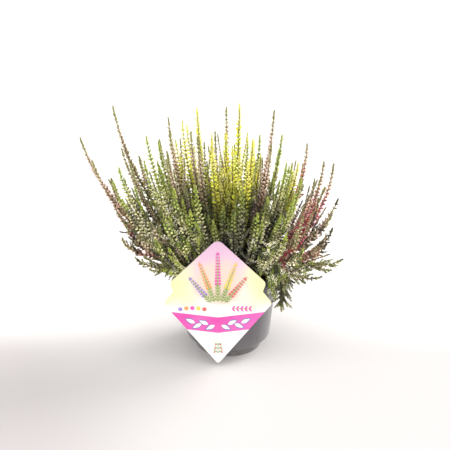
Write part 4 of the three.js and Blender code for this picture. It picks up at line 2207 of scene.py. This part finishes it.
@dataclass
class Studio:
    """Pale floor, white air, a low sun-like key from behind on the right and the camera."""

    lens: float = 44.0
    sensor: float = 36.0
    place: tuple[float, float, float] = (-0.0042, -0.661, 0.377)
    pitch: float = 72.0
    floor_size: float = 60.0
    key_from: tuple[float, float, float] = (0.8, 0.46, 0.5)
    key_power: float = 2.7
    key_width: float = 34.0
    front_from: tuple[float, float, float] = (-0.1, -0.8, 0.7)
    front_power: float = 3.6
    front_width: float = 110.0
    light: tuple[float, float, float] = (1.0, 0.985, 0.96)
    horizon: Span = (0.1, 0.7)
    overhead: float = 0.5

    def build(self) -> None:
        """Builds the camera, the floor and the lights."""
        self.camera()
        self.floor()
        self.sun("key_light", self.key_from, self.key_power, self.key_width)
        self.sun("front_light", self.front_from, self.front_power, self.front_width)
        self.air()
        bpy.context.scene.view_settings.view_transform = "Standard"

    def air(self) -> None:
        """Fills the studio with light that is white at the horizon and dimmer overhead."""
        world = bpy.data.worlds.new("studio_air")
        world.use_nodes = True
        tree = world.node_tree
        split = tree.nodes.new("ShaderNodeSeparateXYZ")
        around = tree.nodes.new("ShaderNodeTexCoord").outputs["Generated"]
        tree.links.new(around, split.inputs[0])
        dim = tree.nodes.new("ShaderNodeMapRange")
        for socket, number in zip(list(dim.inputs)[1:], (*self.horizon, 1.0, self.overhead)):
            socket.default_value = number
        tree.links.new(split.outputs[2], dim.inputs[0])
        glow = tree.nodes["Background"]
        glow.inputs["Color"].default_value = (1.0, 1.0, 1.0, 1.0)
        tree.links.new(dim.outputs[0], glow.inputs["Strength"])
        bpy.context.scene.world = world

    def camera(self) -> None:
        """Places the camera as the photograph was taken."""
        data = bpy.data.cameras.new("photo_camera")
        data.lens = self.lens
        data.sensor_width = self.sensor
        camera = bpy.data.objects.new("photo_camera", data)
        camera.location = self.place
        camera.rotation_euler = (math.radians(self.pitch), 0.0, 0.0)
        bpy.context.scene.collection.objects.link(camera)
        bpy.context.scene.camera = camera

    def floor(self) -> None:
        """Lays the floor."""
        half = self.floor_size / 2
        points = np.array([(x, y, 0.0) for x, y in
                           ((-half, -half), (half, -half), (half, half), (-half, half))])
        new_object("studio_floor", points, [(0, 1, 2, 3)], [FloorFinish().material()])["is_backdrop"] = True

    def sun(self, name: str, toward: tuple[float, float, float], power: float,
            width: float) -> None:
        """Hangs a far and wide light, so that its shadows are soft.

        Args:
            name: The light's name.
            toward: The direction towards the light.
            power: Its strength.
            width: Its breadth in the sky, in degrees.
        """
        data = bpy.data.lights.new(name, "SUN")
        data.energy = power
        data.angle = math.radians(width)
        data.color = self.light
        light = bpy.data.objects.new(name, data)
        light.rotation_euler = Vector(toward).to_track_quat("Z", "Y").to_euler()
        bpy.context.scene.collection.objects.link(light)


def main() -> None:
    """Builds the potted heather piece by piece."""
    logging.basicConfig(level=logging.INFO, format="%(message)s")
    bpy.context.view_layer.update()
    Studio().build()
    pot = Pot()
    pot.build()
    Peat(pot).build()
    Card().build()
    Heather().build()
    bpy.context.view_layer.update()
    faces = sum(len(piece.data.polygons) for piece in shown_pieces() if piece.type == "MESH")
    LOG.info("faces in all: %d", faces)


if __name__ == "__main__":
    main()
